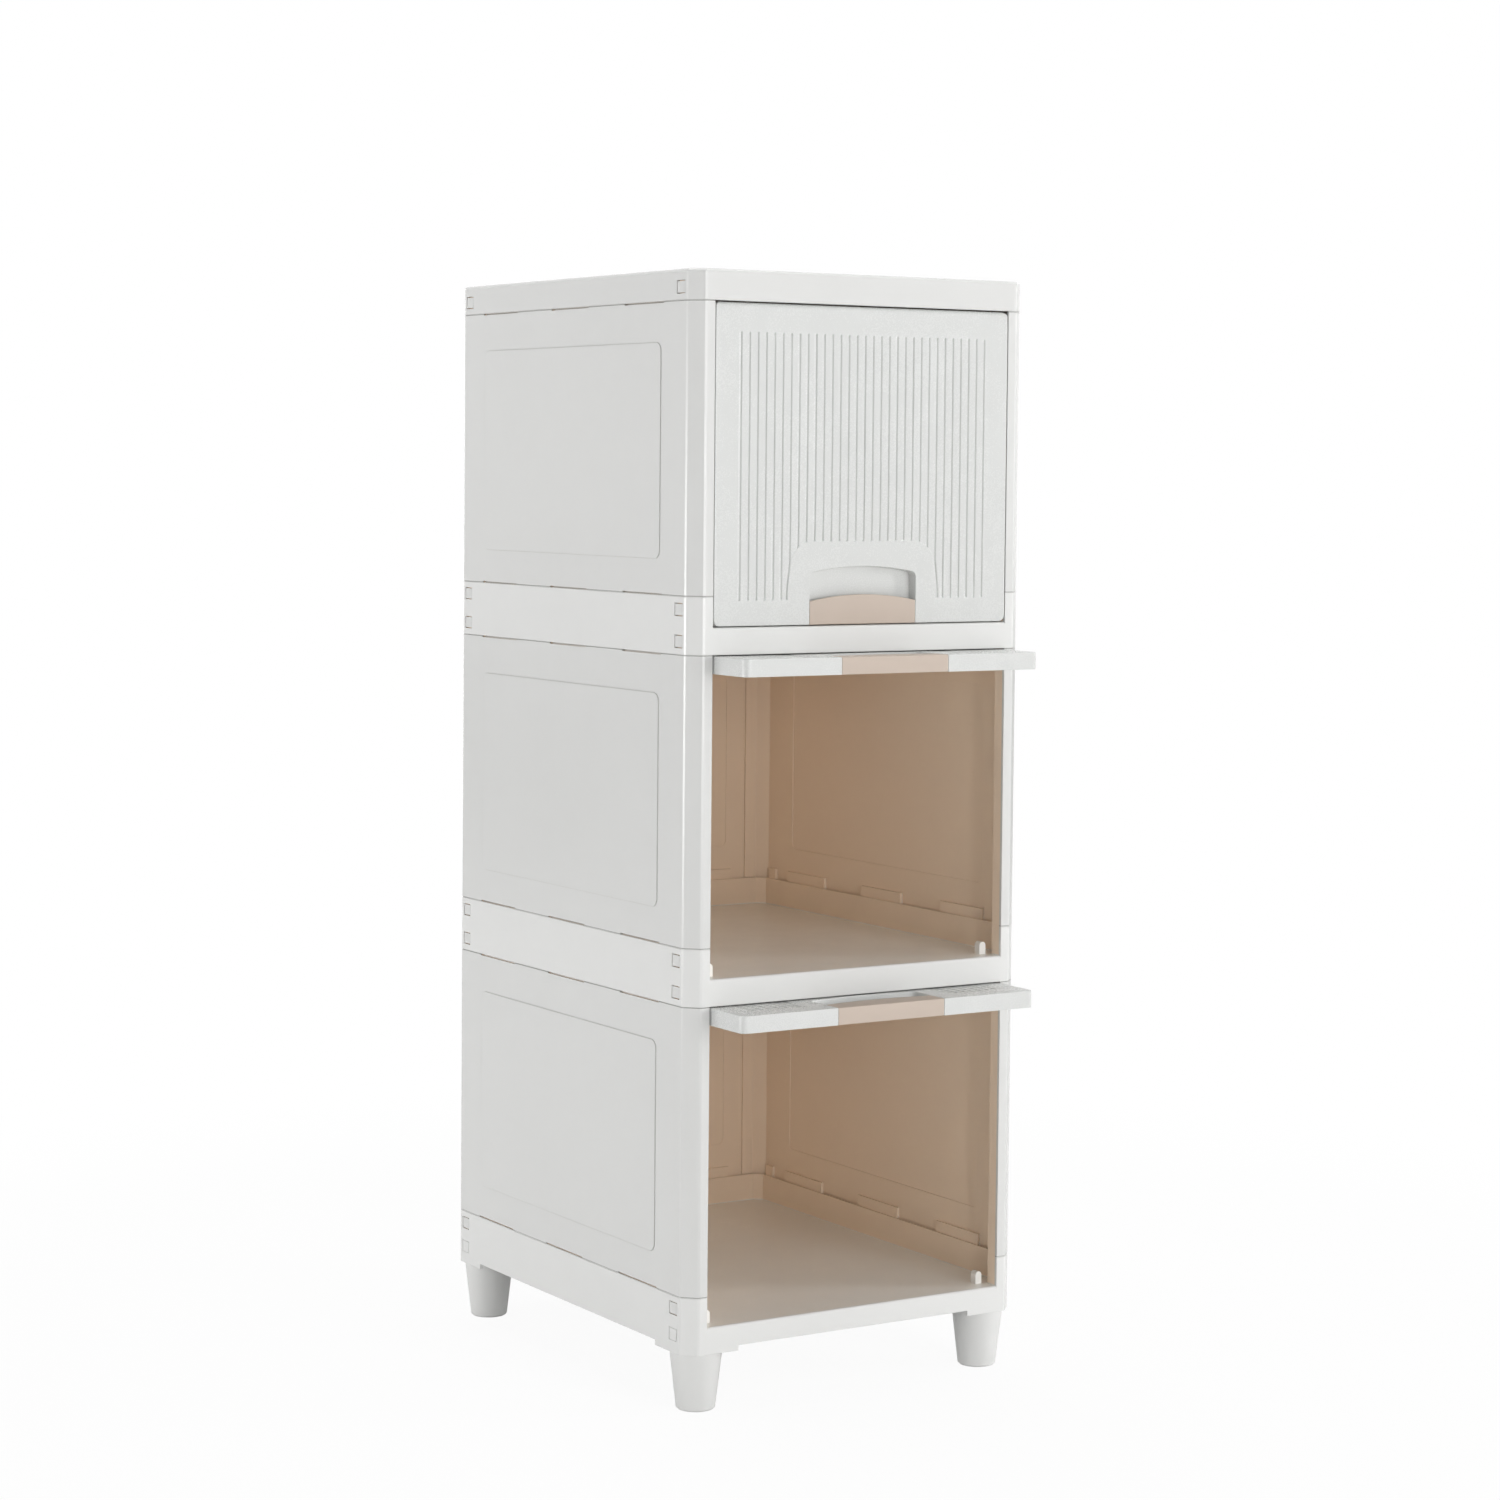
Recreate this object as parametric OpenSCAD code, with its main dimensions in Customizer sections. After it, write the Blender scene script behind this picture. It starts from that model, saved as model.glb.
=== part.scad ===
// Stackable storage cabinet with three tiers.
// Each tier has a door that flips up about pins near its top edge, and the pins
// ride back in channels, so that the open door lies under the ceiling with its
// handle standing out at the front. Units are millimetres, +Z is up, the front
// faces -Y, and the feet stand on z = 0.

/* [Cabinet] */
// Width over the side walls
cabinet_w = 370; // [350:1:400]
// Depth over the front and back walls
cabinet_d = 460; // [420:1:520]
// Width of the cut across the upright corners, along each wall
corner_cut = 12.4; // [10:0.2:15]
// Rounding of the two edges of a cut corner
corner_edge_r = 5; // [4.5:0.1:6]
// Thickness of the moulded outer walls
wall = 3; // [2.4:0.1:3.6]
// Width of a front stile, from the side wall to the door opening
stile_w = 22; // [20:0.5:28]
// Width that a side panel wraps round the back
back_wrap = 20; // [16:0.5:30]

/* [Tiers] */
// Height of the side and back panels
panel_h = 267; // [240:1:320]
// Height of a shelf frame at its corners
frame_h = 53; // [50:0.5:64]
// Height of the front rail under a door
rail_h = 25; // [24:0.5:28]
// Thickness of the shelf plate
plate_t = 2.5; // [2:0.1:3]
// Height of the top cover
cover_h = 28.5; // [26:0.5:36]
// Rounding of the top cover's upper edge
cover_edge_r = 4; // [2:0.1:4.2]
// Rounding of the front rail's upper edge
rail_edge_r = 2.4; // [1:0.1:2.8]
// Lift of the base's lower edge between its corners
base_lift = 5; // [2:0.5:8]
// Length of each corner skirt of the base
skirt_len = 56; // [52:1:70]

/* [Panel emboss] */
// Height that the raised field stands out of a panel
emboss_h = 0.8; // [0.4:0.1:1.2]
// Margin from the raised field to the front and back of a side panel
emboss_side_margin = 58; // [48:1:80]
// Margin from the raised field to the sides of a back panel
emboss_back_margin = 29; // [24:1:50]
// Margin from the raised field to a panel's lower edge
emboss_low_margin = 33; // [28:1:50]
// Margin from the raised field to a panel's upper edge
emboss_high_margin = 37; // [30:1:50]
// Corner radius of the raised field
emboss_r = 8; // [4:0.5:14]
// Inset of the hollow behind the raised field
emboss_inset = 1.5; // [1:0.1:2.5]

/* [Panel joints] */
// Length of a tongue and of the slot line that it shows at the seam
tongue_len = 72; // [50:1:90]
// Distance between tongues along a side
tongue_pitch = 140; // [125:1:150]
// Distance between tongues along the back
back_tongue_pitch = 104; // [96:1:110]
// Thickness of a tongue
tongue_t = 2.4; // [1.8:0.1:3]
// Depth that a tongue reaches into the next piece
tongue_in = 20; // [12:0.5:20]
// Height of the slot line at a seam
slot_h = 1.5; // [0.8:0.1:2.5]
// Depth and height of the shadow line along a seam
seam_relief = 0.5; // [0.3:0.1:1]
// Width of a snap window
snap_w = 14; // [10:0.5:16]
// Height of a snap window
snap_h = 12; // [8:0.5:13]
// Distance from a front or back wall to the middle of a snap window
snap_inset = 24; // [22:0.5:34]
// Distance from a seam to the middle of a snap window
snap_rise = 12; // [9:0.5:13]
// Thickness of a frame's inner rim, behind the tongues
rim_t = 1.8; // [1.4:0.1:2.4]
// Width of the lip on a side panel that backs the back panel's edge
lip_w = 8; // [5:0.5:12]
// Thickness of that lip
lip_t = 2; // [1.6:0.1:3]
// Gap between pieces that seat in each other
seat_gap = 0.3; // [0.2:0.05:0.5]
// Gap round a snap tooth in its window
snap_gap = 0.8; // [0.5:0.1:1.2]

/* [Doors] */
// Thickness of a door
door_t = 16; // [14:0.5:18]
// Gap round a closed door
door_gap = 1; // [0.8:0.1:1.5]
// Thickness of a door's front skin
skin_t = 2.6; // [2:0.1:3.5]
// Thickness of a door's flanges and back ribs
door_rib_t = 2.2; // [1.6:0.1:3]
// Number of rib cells across a door
door_cells_x = 4; // [3:1:6]
// Number of rib cells up a door
door_cells_z = 3; // [2:1:5]
// Radius of a door's corners, seen from the front
door_corner_r = 4; // [2:0.5:6]
// Rounding of a door's top front edge, which passes the rail above as it flips
door_edge_r = 4.5; // [4:0.5:6]
// Distance that an open door stands out of the cabinet
park_out = 55; // [45:1:70]

/* [Reeding] */
// Distance from one groove to the next
reed_pitch = 9; // [8:0.1:12]
// Radius of a groove
groove_r = 1; // [0.6:0.1:1.4]
// Depth of a groove
groove_depth = 0.9; // [0.5:0.1:1.4]
// Smooth border beside the grooves
reed_side_margin = 26.5; // [16:0.5:30]
// Smooth border above the grooves
reed_top_margin = 26; // [20:0.5:34]
// Smooth border below the grooves
reed_low_margin = 22.5; // [18:0.5:30]

/* [Handle] */
// Width of the smooth arch round the handle
arch_w = 161; // [150:1:180]
// Height of the smooth arch above the door's lower edge
arch_h = 76; // [70:1:90]
// Radius of the smooth arch's upper corners
arch_r = 24; // [12:1:30]
// Width of the finger pocket
pocket_w = 118; // [90:1:126]
// Height of the finger pocket's ends above the door's lower edge
pocket_h = 47.5; // [40:0.5:56]
// Rise of the curved top edges in the middle of the pocket
bow = 6; // [3:0.5:8]
// Depth of the finger pocket
pocket_depth = 10.6; // [8:0.2:11.4]
// Height of the grip's ends above the door's lower edge
grip_h = 21.4; // [18:0.2:26]
// Thickness of the grip
grip_t = 2.6; // [2:0.1:3.2]
// Height of the grip's hook behind the door's lower edge
hook_h = 10.7; // [8:0.1:14]

/* [Hinge and guide] */
// Distance from a door's front face and top edge to its pivot
pivot_in = 10; // [9:0.5:11]
// Radius of a pivot pin
pin_r = 3; // [2:0.1:3.4]
// Chamfer of a pin's ends
pin_chamfer = 0.6; // [0.3:0.1:1]
// Running clearance of a pin in its bores
pin_gap = 0.05; // [0.02:0.01:0.1]
// Length of a pin inside the door
pin_in_door = 11; // [8:0.5:14]
// Length of a guide shoe along its channel
shoe_len = 10; // [9:0.5:11]
// Height of a guide shoe
shoe_h = 9; // [8:0.5:10]
// Corner radius of a guide shoe
shoe_r = 2.2; // [1:0.1:3]
// Clearance of a shoe in its channel
shoe_gap = 0.3; // [0.2:0.05:0.5]
// Thickness of the channel's ledges
ledge_t = 2.4; // [1.8:0.1:2.6]
// Depth of the jamb behind a front stile
jamb_depth = 15; // [10:0.5:16]
// Thickness of the jamb
jamb_t = 2.2; // [1.6:0.1:3]
// Drop of the nose under the channel's front end
nose_drop = 6; // [3:0.5:8]
// Length of the nose under the channel's front end
nose_len = 7; // [4:0.5:10]

/* [Door stops] */
// Width of a door stop post
stop_w = 7; // [4:0.5:10]
// Height of a door stop post above the shelf
stop_h = 12; // [8:0.5:16]
// Length of a door stop post, front to back
stop_len = 8; // [5:0.5:12]
// Distance from the jamb to the door stop post
stop_inset = 6; // [4:0.5:20]
// Gap between the closed door and its stop post
stop_gap = 0.6; // [0.4:0.1:1]

/* [Shelf ribs] */
// Thickness of the ribs under a plate
rib_t = 2; // [1.6:0.1:3]
// Height of the ribs under a shelf plate
rib_h = 14; // [8:0.5:15]
// Height of the ribs under the top cover
cover_rib_h = 12; // [6:0.5:14]
// Number of rib bays from side to side
rib_bays_x = 4; // [4:1:6]
// Number of rib bays from front to back
rib_bays_y = 5; // [5:1:7]

/* [Feet] */
// Height of the feet
foot_h = 55; // [40:1:80]
// Radius of a foot at its top
foot_top_r = 24.5; // [20:0.5:25]
// Radius of a foot at the floor
foot_low_r = 18; // [12:0.5:20]
// Chamfer of a foot's lower edge
foot_chamfer = 1.5; // [0.5:0.1:3]
// Thickness of a foot's wall
foot_wall = 2.6; // [2:0.1:4]
// Distance from the outer walls to a foot's middle
foot_inset = 26; // [25.5:0.5:32]
// Radius of the stem that plugs into the base
stem_r = 11; // [8:0.5:13]
// Length of the stem
stem_len = 14; // [10:0.5:18]
// Thickness of the socket's wall
socket_wall = 4; // [3:0.5:6]
// Thickness of the base's pad that a foot's rim bears on
foot_pad_t = 2.5; // [2:0.1:4]

/* [Hidden] */
$fn = 48;
SIDES = [-1, 1];
nib = 0.01;
deg_flip = 90;
half_w = cabinet_w / 2;
half_d = cabinet_d / 2;
front_y = -half_d;
open_half = half_w - stile_w;
back_half = half_w - back_wrap;
inner_half = half_w - wall;
pitch = panel_h + frame_h;
open_h = pitch - rail_h;

door_w = 2 * (open_half - door_gap);
door_h = open_h - 2 * door_gap;
door_half = door_w / 2;
door_low = pivot_in - door_h;
travel = door_h - 2 * pivot_in - park_out;
pivot_drop = door_gap + pivot_in;

base_z = foot_h;
tier_z = [base_z + frame_h + 2 * pitch, base_z + frame_h + pitch, base_z + frame_h];
cover_z = tier_z[0] + panel_h;

channel_half = shoe_h / 2 + shoe_gap;
channel_x = open_half + jamb_t / 4;
channel_len = pivot_in + travel + shoe_len / 2 + 2 * shoe_gap;
shoe_x = channel_x + shoe_gap;
corner_run = max(0, cut_at(wall) + wall + shoe_len / 2 - pivot_in);
shoe_w = inner_half - max(corner_run, seat_gap + tongue_t) - 2 * shoe_gap - shoe_x;
pin_in_shoe = shoe_w - door_rib_t - shoe_gap;
boss_w = pin_in_door + door_rib_t;
boss_h = 2 * pivot_in - door_rib_t;

reed_count = floor((door_w - 2 * reed_side_margin) / reed_pitch) + 1;
groove_half = sqrt(groove_r * groove_r - pow(groove_r - groove_depth, 2));
bow_r = (pow(pocket_w / 2, 2) + bow * bow) / (2 * bow);
cup_half = pocket_w / 2 + door_rib_t;
cup_back = pocket_depth + door_rib_t;
cup_floor = grip_t + seat_gap + door_rib_t;

tongue_x = inner_half - seat_gap;
rim_in = wall + tongue_t + 2 * seat_gap;
root_h = tongue_in / 2;
rib_reach_x = half_w - rim_in - rib_t / 2;
rib_reach_y = half_d - rim_in - rib_t / 2;
foot_x = half_w - foot_inset;
foot_y = half_d - foot_inset;

// ---------- placing and drawing helpers ----------

// The cabinet stands back by half of what reaches further out at its front than
// at its back, so that the origin is under the middle of the whole object
module stand() {
    translate([0, (park_out - emboss_h) / 2, 0]) children();
}

// Draws a flat outline (across, up) upright, facing the front, from y = 0 back
module facing_front(depth) {
    translate([0, depth, 0]) rotate([90, 0, 0]) linear_extrude(depth) children();
}

// Draws a flat outline (back, up) upright and sweeps it across from x = 0
module across(width) {
    rotate([90, 0, 90]) linear_extrude(width) children();
}

// A box from a low corner to a high corner
module block(low, high) {
    translate(low) cube(high - low);
}

// Width of the corner cut where the outline is drawn in by inset
function cut_at(inset) = corner_cut - inset * (2 - sqrt(2));

// The outline's eight corners (across, back), drawn in by inset, from the right side round
function outline(inset) = let (x = half_w - inset, y = half_d - inset, cut = cut_at(inset)) [
    [x, cut - y], [x, y - cut], [x - cut, y], [cut - x, y],
    [-x, y - cut], [-x, cut - y], [cut - x, -y], [x - cut, -y]
];

// A rectangle with round corners, centred
module rounded_rect(w, d, r) {
    square([w - 2 * r, d], center = true);
    square([w, d - 2 * r], center = true);
    for (sx = SIDES, sy = SIDES)
        translate([sx * (w / 2 - r), sy * (d / 2 - r)]) circle(r);
}

// The cabinet's outline seen from above, drawn in by inset
module plan(inset = 0) {
    r = corner_edge_r - inset;
    if (r > nib) {
        intersection() {
            polygon(outline(inset));
            edge_rounds(r);
        }
    } else {
        polygon(outline(inset));
    }
}

// A shape that trims only the outline's corners, by circles a nib over size, so that
// each round meets its walls at a clean crossing
module edge_rounds(r) {
    c = outline(corner_edge_r);
    polygon(c);
    for (k = [0:7]) {
        next = c[(k + 1) % 8];
        out = 2 * r * [cos(45 * k), sin(45 * k)];
        polygon([c[k], next, next + out, c[k] + out]);
        translate(c[k]) circle(r + nib);
    }
}

// The closed wall that follows the outline
module plan_ring(inset = 0) {
    difference() {
        plan(inset);
        plan(wall);
    }
}

// ---------- joints between panels and frames ----------

// One tongue on the left wall, centred on y and reaching up from the seam at z = 0
module tongue(len, gap_in = 0) {
    block([-tongue_x, -len / 2, 0], [-tongue_x + tongue_t, len / 2, tongue_in - gap_in]);
    block([-inner_half - nib, -len / 2, -root_h], [-tongue_x + tongue_t, len / 2, 0]);
}

// The tongues and snap teeth of a left wall, reaching up from z = 0
module side_tongues() {
    for (i = [-1:1])
        translate([0, i * tongue_pitch, 0]) tongue(tongue_len - 2 * seat_gap);
    for (s = SIDES)
        translate([0, s * (half_d - snap_inset), 0]) snap_tongue();
}

// A tongue with a tooth that fills a snap window
module snap_tongue() {
    tongue(snap_w, seat_gap);
    block([-half_w + seat_gap, snap_gap - snap_w / 2, snap_rise - snap_h / 2 + snap_gap],
        [-tongue_x + nib, snap_w / 2 - snap_gap, snap_rise + snap_h / 2 - snap_gap]);
}

// The snap windows through both side walls at a height
module snap_windows(z) {
    for (sx = SIDES, sy = SIDES)
        translate([sx * half_w, sy * (half_d - snap_inset), z])
            cube([2 * wall + 1, snap_w, snap_h], center = true);
}

// The slots at the seam z = 0 through a left wall
module side_slots() {
    for (i = [-1:1])
        block([-half_w - 1, i * tongue_pitch - tongue_len / 2, -nib],
            [-inner_half, i * tongue_pitch + tongue_len / 2, slot_h]);
}

// ---------- panels ----------

// A raised field as an outline (along, up) on a panel of the given half length
module field(half_len, inset = 0) {
    low = emboss_low_margin + inset;
    high = panel_h - emboss_high_margin - inset;
    translate([0, (low + high) / 2])
        rounded_rect(2 * (half_len - inset), high - low, emboss_r - inset);
}

// Plan of the left wall with its front stile and back return
module side_plan(inset = 0) {
    intersection() {
        plan_ring(inset);
        union() {
            translate([-half_w, -half_d]) square([stile_w, half_d]);
            translate([-half_w, -nib]) square([back_wrap, half_d + 1]);
        }
    }
}

// Plan of the left wall's lip that backs the edge of the back panel
module lip_plan() {
    y0 = half_d - wall - seat_gap - lip_t;
    translate([-back_half - wall, y0]) square([wall + lip_w, lip_t]);
    translate([-back_half - wall, y0]) square([wall, lip_t + seat_gap + nib]);
}

// The channel that guides the pivot shoe along the left wall
module channel() {
    z = panel_h - pivot_drop;
    low = z - channel_half - ledge_t;
    high = z + channel_half;
    y0 = front_y + wall - nib;
    y1 = front_y + channel_len;
    intersection() {
        union() {
            block([-half_w, y0, low], [-channel_x, y1 + ledge_t, low + ledge_t]);
            block([-half_w, y0, high], [-channel_x, y1 + ledge_t, high + ledge_t]);
            block([-half_w, y1, low + nib], [-channel_x, y1 + ledge_t, high + nib]);
            translate([-half_w, front_y + jamb_depth, low]) across(half_w - channel_x) nose();
        }
        linear_extrude(panel_h) plan(wall / 2);
    }
}

// Outline of the nose under the channel's front end
module nose() {
    r = nose_len / 2;
    translate([0, -nose_drop + r]) square([nose_len, nose_drop - r + nib]);
    translate([r, -nose_drop + r]) circle(r);
}

// The upright jamb behind the left stile, over a range of heights
module jamb(z0, z1) {
    block([-open_half - jamb_t, front_y + wall - nib, z0], [-open_half, front_y + jamb_depth, z1]);
}

// The left side panel of one tier
module side_panel() {
    field_half = half_d - emboss_side_margin;
    difference() {
        union() {
            translate([0, 0, seam_relief]) linear_extrude(panel_h - 2 * seam_relief) side_plan();
            linear_extrude(panel_h) side_plan(seam_relief);
            translate([-half_w - emboss_h, 0, 0]) across(emboss_h + nib) field(field_half);
        }
        translate([-inner_half - emboss_h, 0, 0]) across(emboss_h + nib) field(field_half, emboss_inset);
        side_slots();
        translate([0, 0, panel_h]) mirror([0, 0, 1]) side_slots();
    }
    linear_extrude(panel_h) lip_plan();
    jamb(0, panel_h - pivot_drop - channel_half - ledge_t + nib);
    channel();
    translate([0, 0, panel_h]) side_tongues();
    mirror([0, 0, 1]) side_tongues();
}

// Tongues of the back panel, reaching up from z = 0
module back_tongues() {
    y1 = half_d - wall - seat_gap;
    for (i = [-1:1]) {
        x0 = i * back_tongue_pitch - tongue_len / 2 + seat_gap;
        x1 = x0 + tongue_len - 2 * seat_gap;
        block([x0, y1 - tongue_t, 0], [x1, y1, tongue_in]);
        block([x0, y1 - tongue_t, -root_h], [x1, half_d - wall + nib, 0]);
    }
}

// The slots at the seam z = 0 through the back wall
module back_slots() {
    for (i = [-1:1])
        block([i * back_tongue_pitch - tongue_len / 2, half_d - wall, -nib],
            [i * back_tongue_pitch + tongue_len / 2, half_d + 1, slot_h]);
}

// The back panel of one tier
module back_panel() {
    half = back_half - seat_gap;
    field_half = half - emboss_back_margin;
    y0 = half_d - wall;
    difference() {
        union() {
            block([-half, y0, seam_relief], [half, half_d, panel_h - seam_relief]);
            block([-half, y0, 0], [half, half_d - seam_relief, panel_h]);
            translate([0, half_d - nib, 0]) facing_front(emboss_h + nib) field(field_half);
        }
        translate([0, y0 - nib, 0]) facing_front(emboss_h + nib) field(field_half, emboss_inset);
        back_slots();
        translate([0, 0, panel_h]) mirror([0, 0, 1]) back_slots();
    }
    translate([0, 0, panel_h]) back_tongues();
    mirror([0, 0, 1]) back_tongues();
}

// ---------- frames and cover ----------

// Ribs under a plate, from z0 up to z1: a ring just clear of the tongues, and a grid inside it
module rib_grid(z0, z1) {
    translate([0, 0, z0]) linear_extrude(z1 - z0) difference() {
        plan(rim_in);
        plan(rim_in + rib_t);
    }
    for (i = [1:rib_bays_x - 1]) {
        x = -rib_reach_x + i * 2 * rib_reach_x / rib_bays_x;
        block([x - rib_t / 2, -rib_reach_y, z0], [x + rib_t / 2, rib_reach_y, z1]);
    }
    for (j = [1:rib_bays_y - 1]) {
        y = -rib_reach_y + j * 2 * rib_reach_y / rib_bays_y;
        block([-rib_reach_x, y - rib_t / 2, z0], [rib_reach_x, y + rib_t / 2, z1]);
    }
}

// The opening above the front rail, which a closed door fills
module rail_cut() {
    block([-open_half, front_y - 1, rail_h], [open_half, front_y + rim_in + 2 * rim_t, frame_h + 1]);
}

// The inner rim that stands on a frame's plate and hides the tongues of the panels above
module inner_rim() {
    translate([0, 0, rail_h - nib]) linear_extrude(frame_h - rail_h - seam_relief) difference() {
        plan(rim_in);
        plan(rim_in + rim_t);
    }
}

// A post that the closed left half of a door rests against
module stop_post() {
    x0 = -open_half + stop_inset;
    y0 = front_y + door_t + stop_gap;
    r = stop_w / 2;
    translate([x0 + r, y0, rail_h - nib]) facing_front(stop_len) {
        translate([-r, 0]) square([stop_w, stop_h - r + nib]);
        translate([0, stop_h - r + nib]) circle(r);
    }
}

// Rounding of the front rail's upper edge, taken off
module rail_rounding() {
    r = rail_edge_r;
    translate([-open_half, front_y, rail_h]) across(2 * open_half) difference() {
        translate([-1, -r]) square([r + 1, r + 1]);
        translate([r, -r]) circle(r);
    }
}

// The band, plate and inner rim of a frame, with its door opening
module frame_shell(low_relief) {
    difference() {
        union() {
            translate([0, 0, low_relief]) linear_extrude(frame_h - seam_relief - low_relief) plan_ring();
            linear_extrude(frame_h) plan_ring(seam_relief);
            translate([0, 0, rail_h - plate_t]) linear_extrude(plate_t) plan(wall / 2);
            inner_rim();
        }
        rail_cut();
        rail_rounding();
        snap_windows(frame_h - snap_rise);
    }
}

// What stands on a frame's plate at the door: the feet of the jambs and the door stops
module door_seat() {
    for (m = [0, 1])
        mirror([m, 0, 0]) {
            jamb(rail_h - nib, frame_h);
            stop_post();
        }
}

// A shelf frame between two tiers
module shelf_frame() {
    difference() {
        frame_shell(seam_relief);
        snap_windows(snap_rise);
    }
    rib_grid(rail_h - plate_t - rib_h, rail_h - plate_t + nib);
    door_seat();
}

// A closed groove round the place of an unused snap window
module blind_snap_mark() {
    difference() {
        cube([2 * snap_gap, snap_w, snap_h], center = true);
        cube([2 * snap_gap + 1, snap_w - 2 * snap_gap, snap_h - 2 * snap_gap], center = true);
    }
}

// Four upright cylinders over the feet
module at_feet(r, h) {
    for (sx = SIDES, sy = SIDES)
        translate([sx * foot_x, sy * foot_y, 0]) cylinder(r = r, h = h);
}

// The base frame: it has lifted lower edges, pads and sockets for the feet
module base_frame() {
    difference() {
        frame_shell(0);
        for (sx = SIDES, sy = SIDES)
            translate([sx * half_w, sy * (half_d - snap_inset), snap_rise + base_lift]) blind_snap_mark();
        block([skirt_len - half_w, -half_d - 1, -1], [half_w - skirt_len, half_d + 1, base_lift]);
        block([-half_w - 1, skirt_len - half_d, -1], [half_w + 1, half_d - skirt_len, base_lift]);
    }
    difference() {
        union() {
            rib_grid(rail_h - plate_t - rib_h, rail_h - plate_t + nib);
            at_feet(stem_r + socket_wall, rail_h - plate_t + nib);
            at_feet(foot_top_r, foot_pad_t);
        }
        translate([0, 0, -1]) at_feet(stem_r + seat_gap, stem_len + seat_gap + 1);
    }
    door_seat();
}

// A long bar along y, from z = 0 up to h, with rounded upper edges
module cushion_bar(half, h, edge) {
    reach = cabinet_w + cabinet_d;
    translate([0, -reach, 0]) facing_front(2 * reach) {
        translate([-half, 0]) square([2 * half, h - edge]);
        translate([edge - half, 0]) square([2 * (half - edge), h]);
        for (s = SIDES)
            translate([s * (half - edge), h - edge]) circle(edge);
    }
}

// A slab with the cabinet's outline and a rounded upper edge
module rounded_slab(h, edge) {
    diagonal = (ceil((half_w + half_d - corner_cut) / sqrt(2) / nib) + 1) * nib;
    intersection() {
        linear_extrude(h) plan();
        cushion_bar(half_w, h, edge);
        rotate(90) cushion_bar(half_d, h, edge);
        rotate(45) cushion_bar(diagonal, h, edge);
        rotate(-45) cushion_bar(diagonal, h, edge);
    }
}

// The top cover: a lid with ribs under its plate
module top_cover() {
    difference() {
        rounded_slab(cover_h, cover_edge_r);
        translate([0, 0, -1]) linear_extrude(cover_h - wall + 1) plan(wall);
        snap_windows(snap_rise);
        translate([0, 0, -nib]) linear_extrude(seam_relief + nib) difference() {
            plan(-1);
            plan(seam_relief);
        }
    }
    rib_grid(cover_h - wall - cover_rib_h, cover_h - wall + nib);
}

// ---------- doors, drawn about the pivot, closed ----------

// Outline of an arched opening (across, up) above the door's lower edge
module bowed(width, end_h, inset = 0) {
    translate([-width / 2, 0]) square([width, end_h - inset]);
    intersection() {
        translate([-width / 2, 0]) square([width, end_h + bow + 1]);
        translate([0, end_h + bow - bow_r - inset]) circle(bow_r, $fn = 96);
    }
}

// Front view of the smooth arch round the handle
module arch() {
    top = arch_h - arch_r;
    translate([-arch_w / 2, 0]) square([arch_w, top]);
    translate([arch_r - arch_w / 2, 0]) square([arch_w - 2 * arch_r, arch_h]);
    for (s = SIDES)
        translate([s * (arch_w / 2 - arch_r), top]) circle(arch_r);
}

// The grooves of the reeded field, up to the smooth arch
module reeding() {
    z0 = reed_low_margin;
    z1 = door_h - reed_top_margin;
    difference() {
        for (i = [0:reed_count - 1]) {
            x = (i - (reed_count - 1) / 2) * reed_pitch;
            translate([x, groove_depth - groove_r, z0]) cylinder(r = groove_r, h = z1 - z0, $fn = 24);
        }
        translate([0, -groove_r, 0]) facing_front(3 * groove_r) arch();
    }
}

// The solid form of a door, with its front face at y = 0 and its lower edge at z = 0
module door_block() {
    intersection() {
        translate([0, 0, door_h / 2]) facing_front(door_t) rounded_rect(door_w, door_h, door_corner_r);
        translate([-door_half, 0, 0]) across(door_w) door_section();
    }
}

// Side view of a door: its top front edge is rounded
module door_section() {
    square([door_t, door_h - door_edge_r]);
    translate([door_edge_r, 0]) square([door_t - door_edge_r, door_h]);
    translate([door_edge_r, door_h - door_edge_r]) circle(door_edge_r);
}

// The hollow cells at the back of a door
module door_cells() {
    step_x = (door_w - door_rib_t) / door_cells_x;
    step_z = (door_h - door_rib_t) / door_cells_z;
    for (i = [0:door_cells_x - 1], k = [0:door_cells_z - 1])
        translate([-door_half + door_rib_t + i * step_x, skin_t, door_rib_t + k * step_z])
            cube([step_x - door_rib_t, door_t, step_z - door_rib_t]);
}

// What stays solid at the back of a door: the pivot bosses and the walls of the finger pocket
module door_solids() {
    for (s = [0, 1])
        mirror([s, 0, 0])
            block([door_half - boss_w, 0, door_h - boss_h], [door_half, door_t, door_h]);
    facing_front(cup_back) bowed(2 * cup_half, pocket_h, -door_rib_t);
}

// The door shell
module door_shell() {
    bore = 2 * (pin_in_door + seat_gap);
    difference() {
        door_block();
        reeding();
        difference() {
            door_cells();
            door_solids();
        }
        difference() {
            translate([0, -nib, 0]) facing_front(pocket_depth + nib) bowed(pocket_w, pocket_h);
            block([-pocket_w, grip_t + seat_gap, -1], [pocket_w, door_t + 1, cup_floor]);
        }
        block([-pocket_w / 2, -1, -1], [pocket_w / 2, door_t + 1, grip_t + seat_gap]);
        block([-pocket_w / 2, cup_back, -1], [pocket_w / 2, door_t + 1, hook_h + seat_gap]);
        for (s = SIDES)
            translate([s * door_half, pivot_in, door_h - pivot_in])
                rotate([0, 90, 0]) cylinder(r = pin_r + pin_gap, h = bore, center = true);
    }
}

// The grip: a bowed front plate, a plate round the door's lower edge and a hook behind it
module grip_form() {
    w = pocket_w - 2 * seat_gap;
    facing_front(grip_t) intersection() {
        bowed(pocket_w, grip_h);
        translate([-w / 2, 0]) square([w, arch_h]);
    }
    block([-w / 2, 0, 0], [w / 2, door_t, grip_t]);
    block([-w / 2, cup_back + seat_gap, 0], [w / 2, door_t, hook_h]);
}

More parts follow.
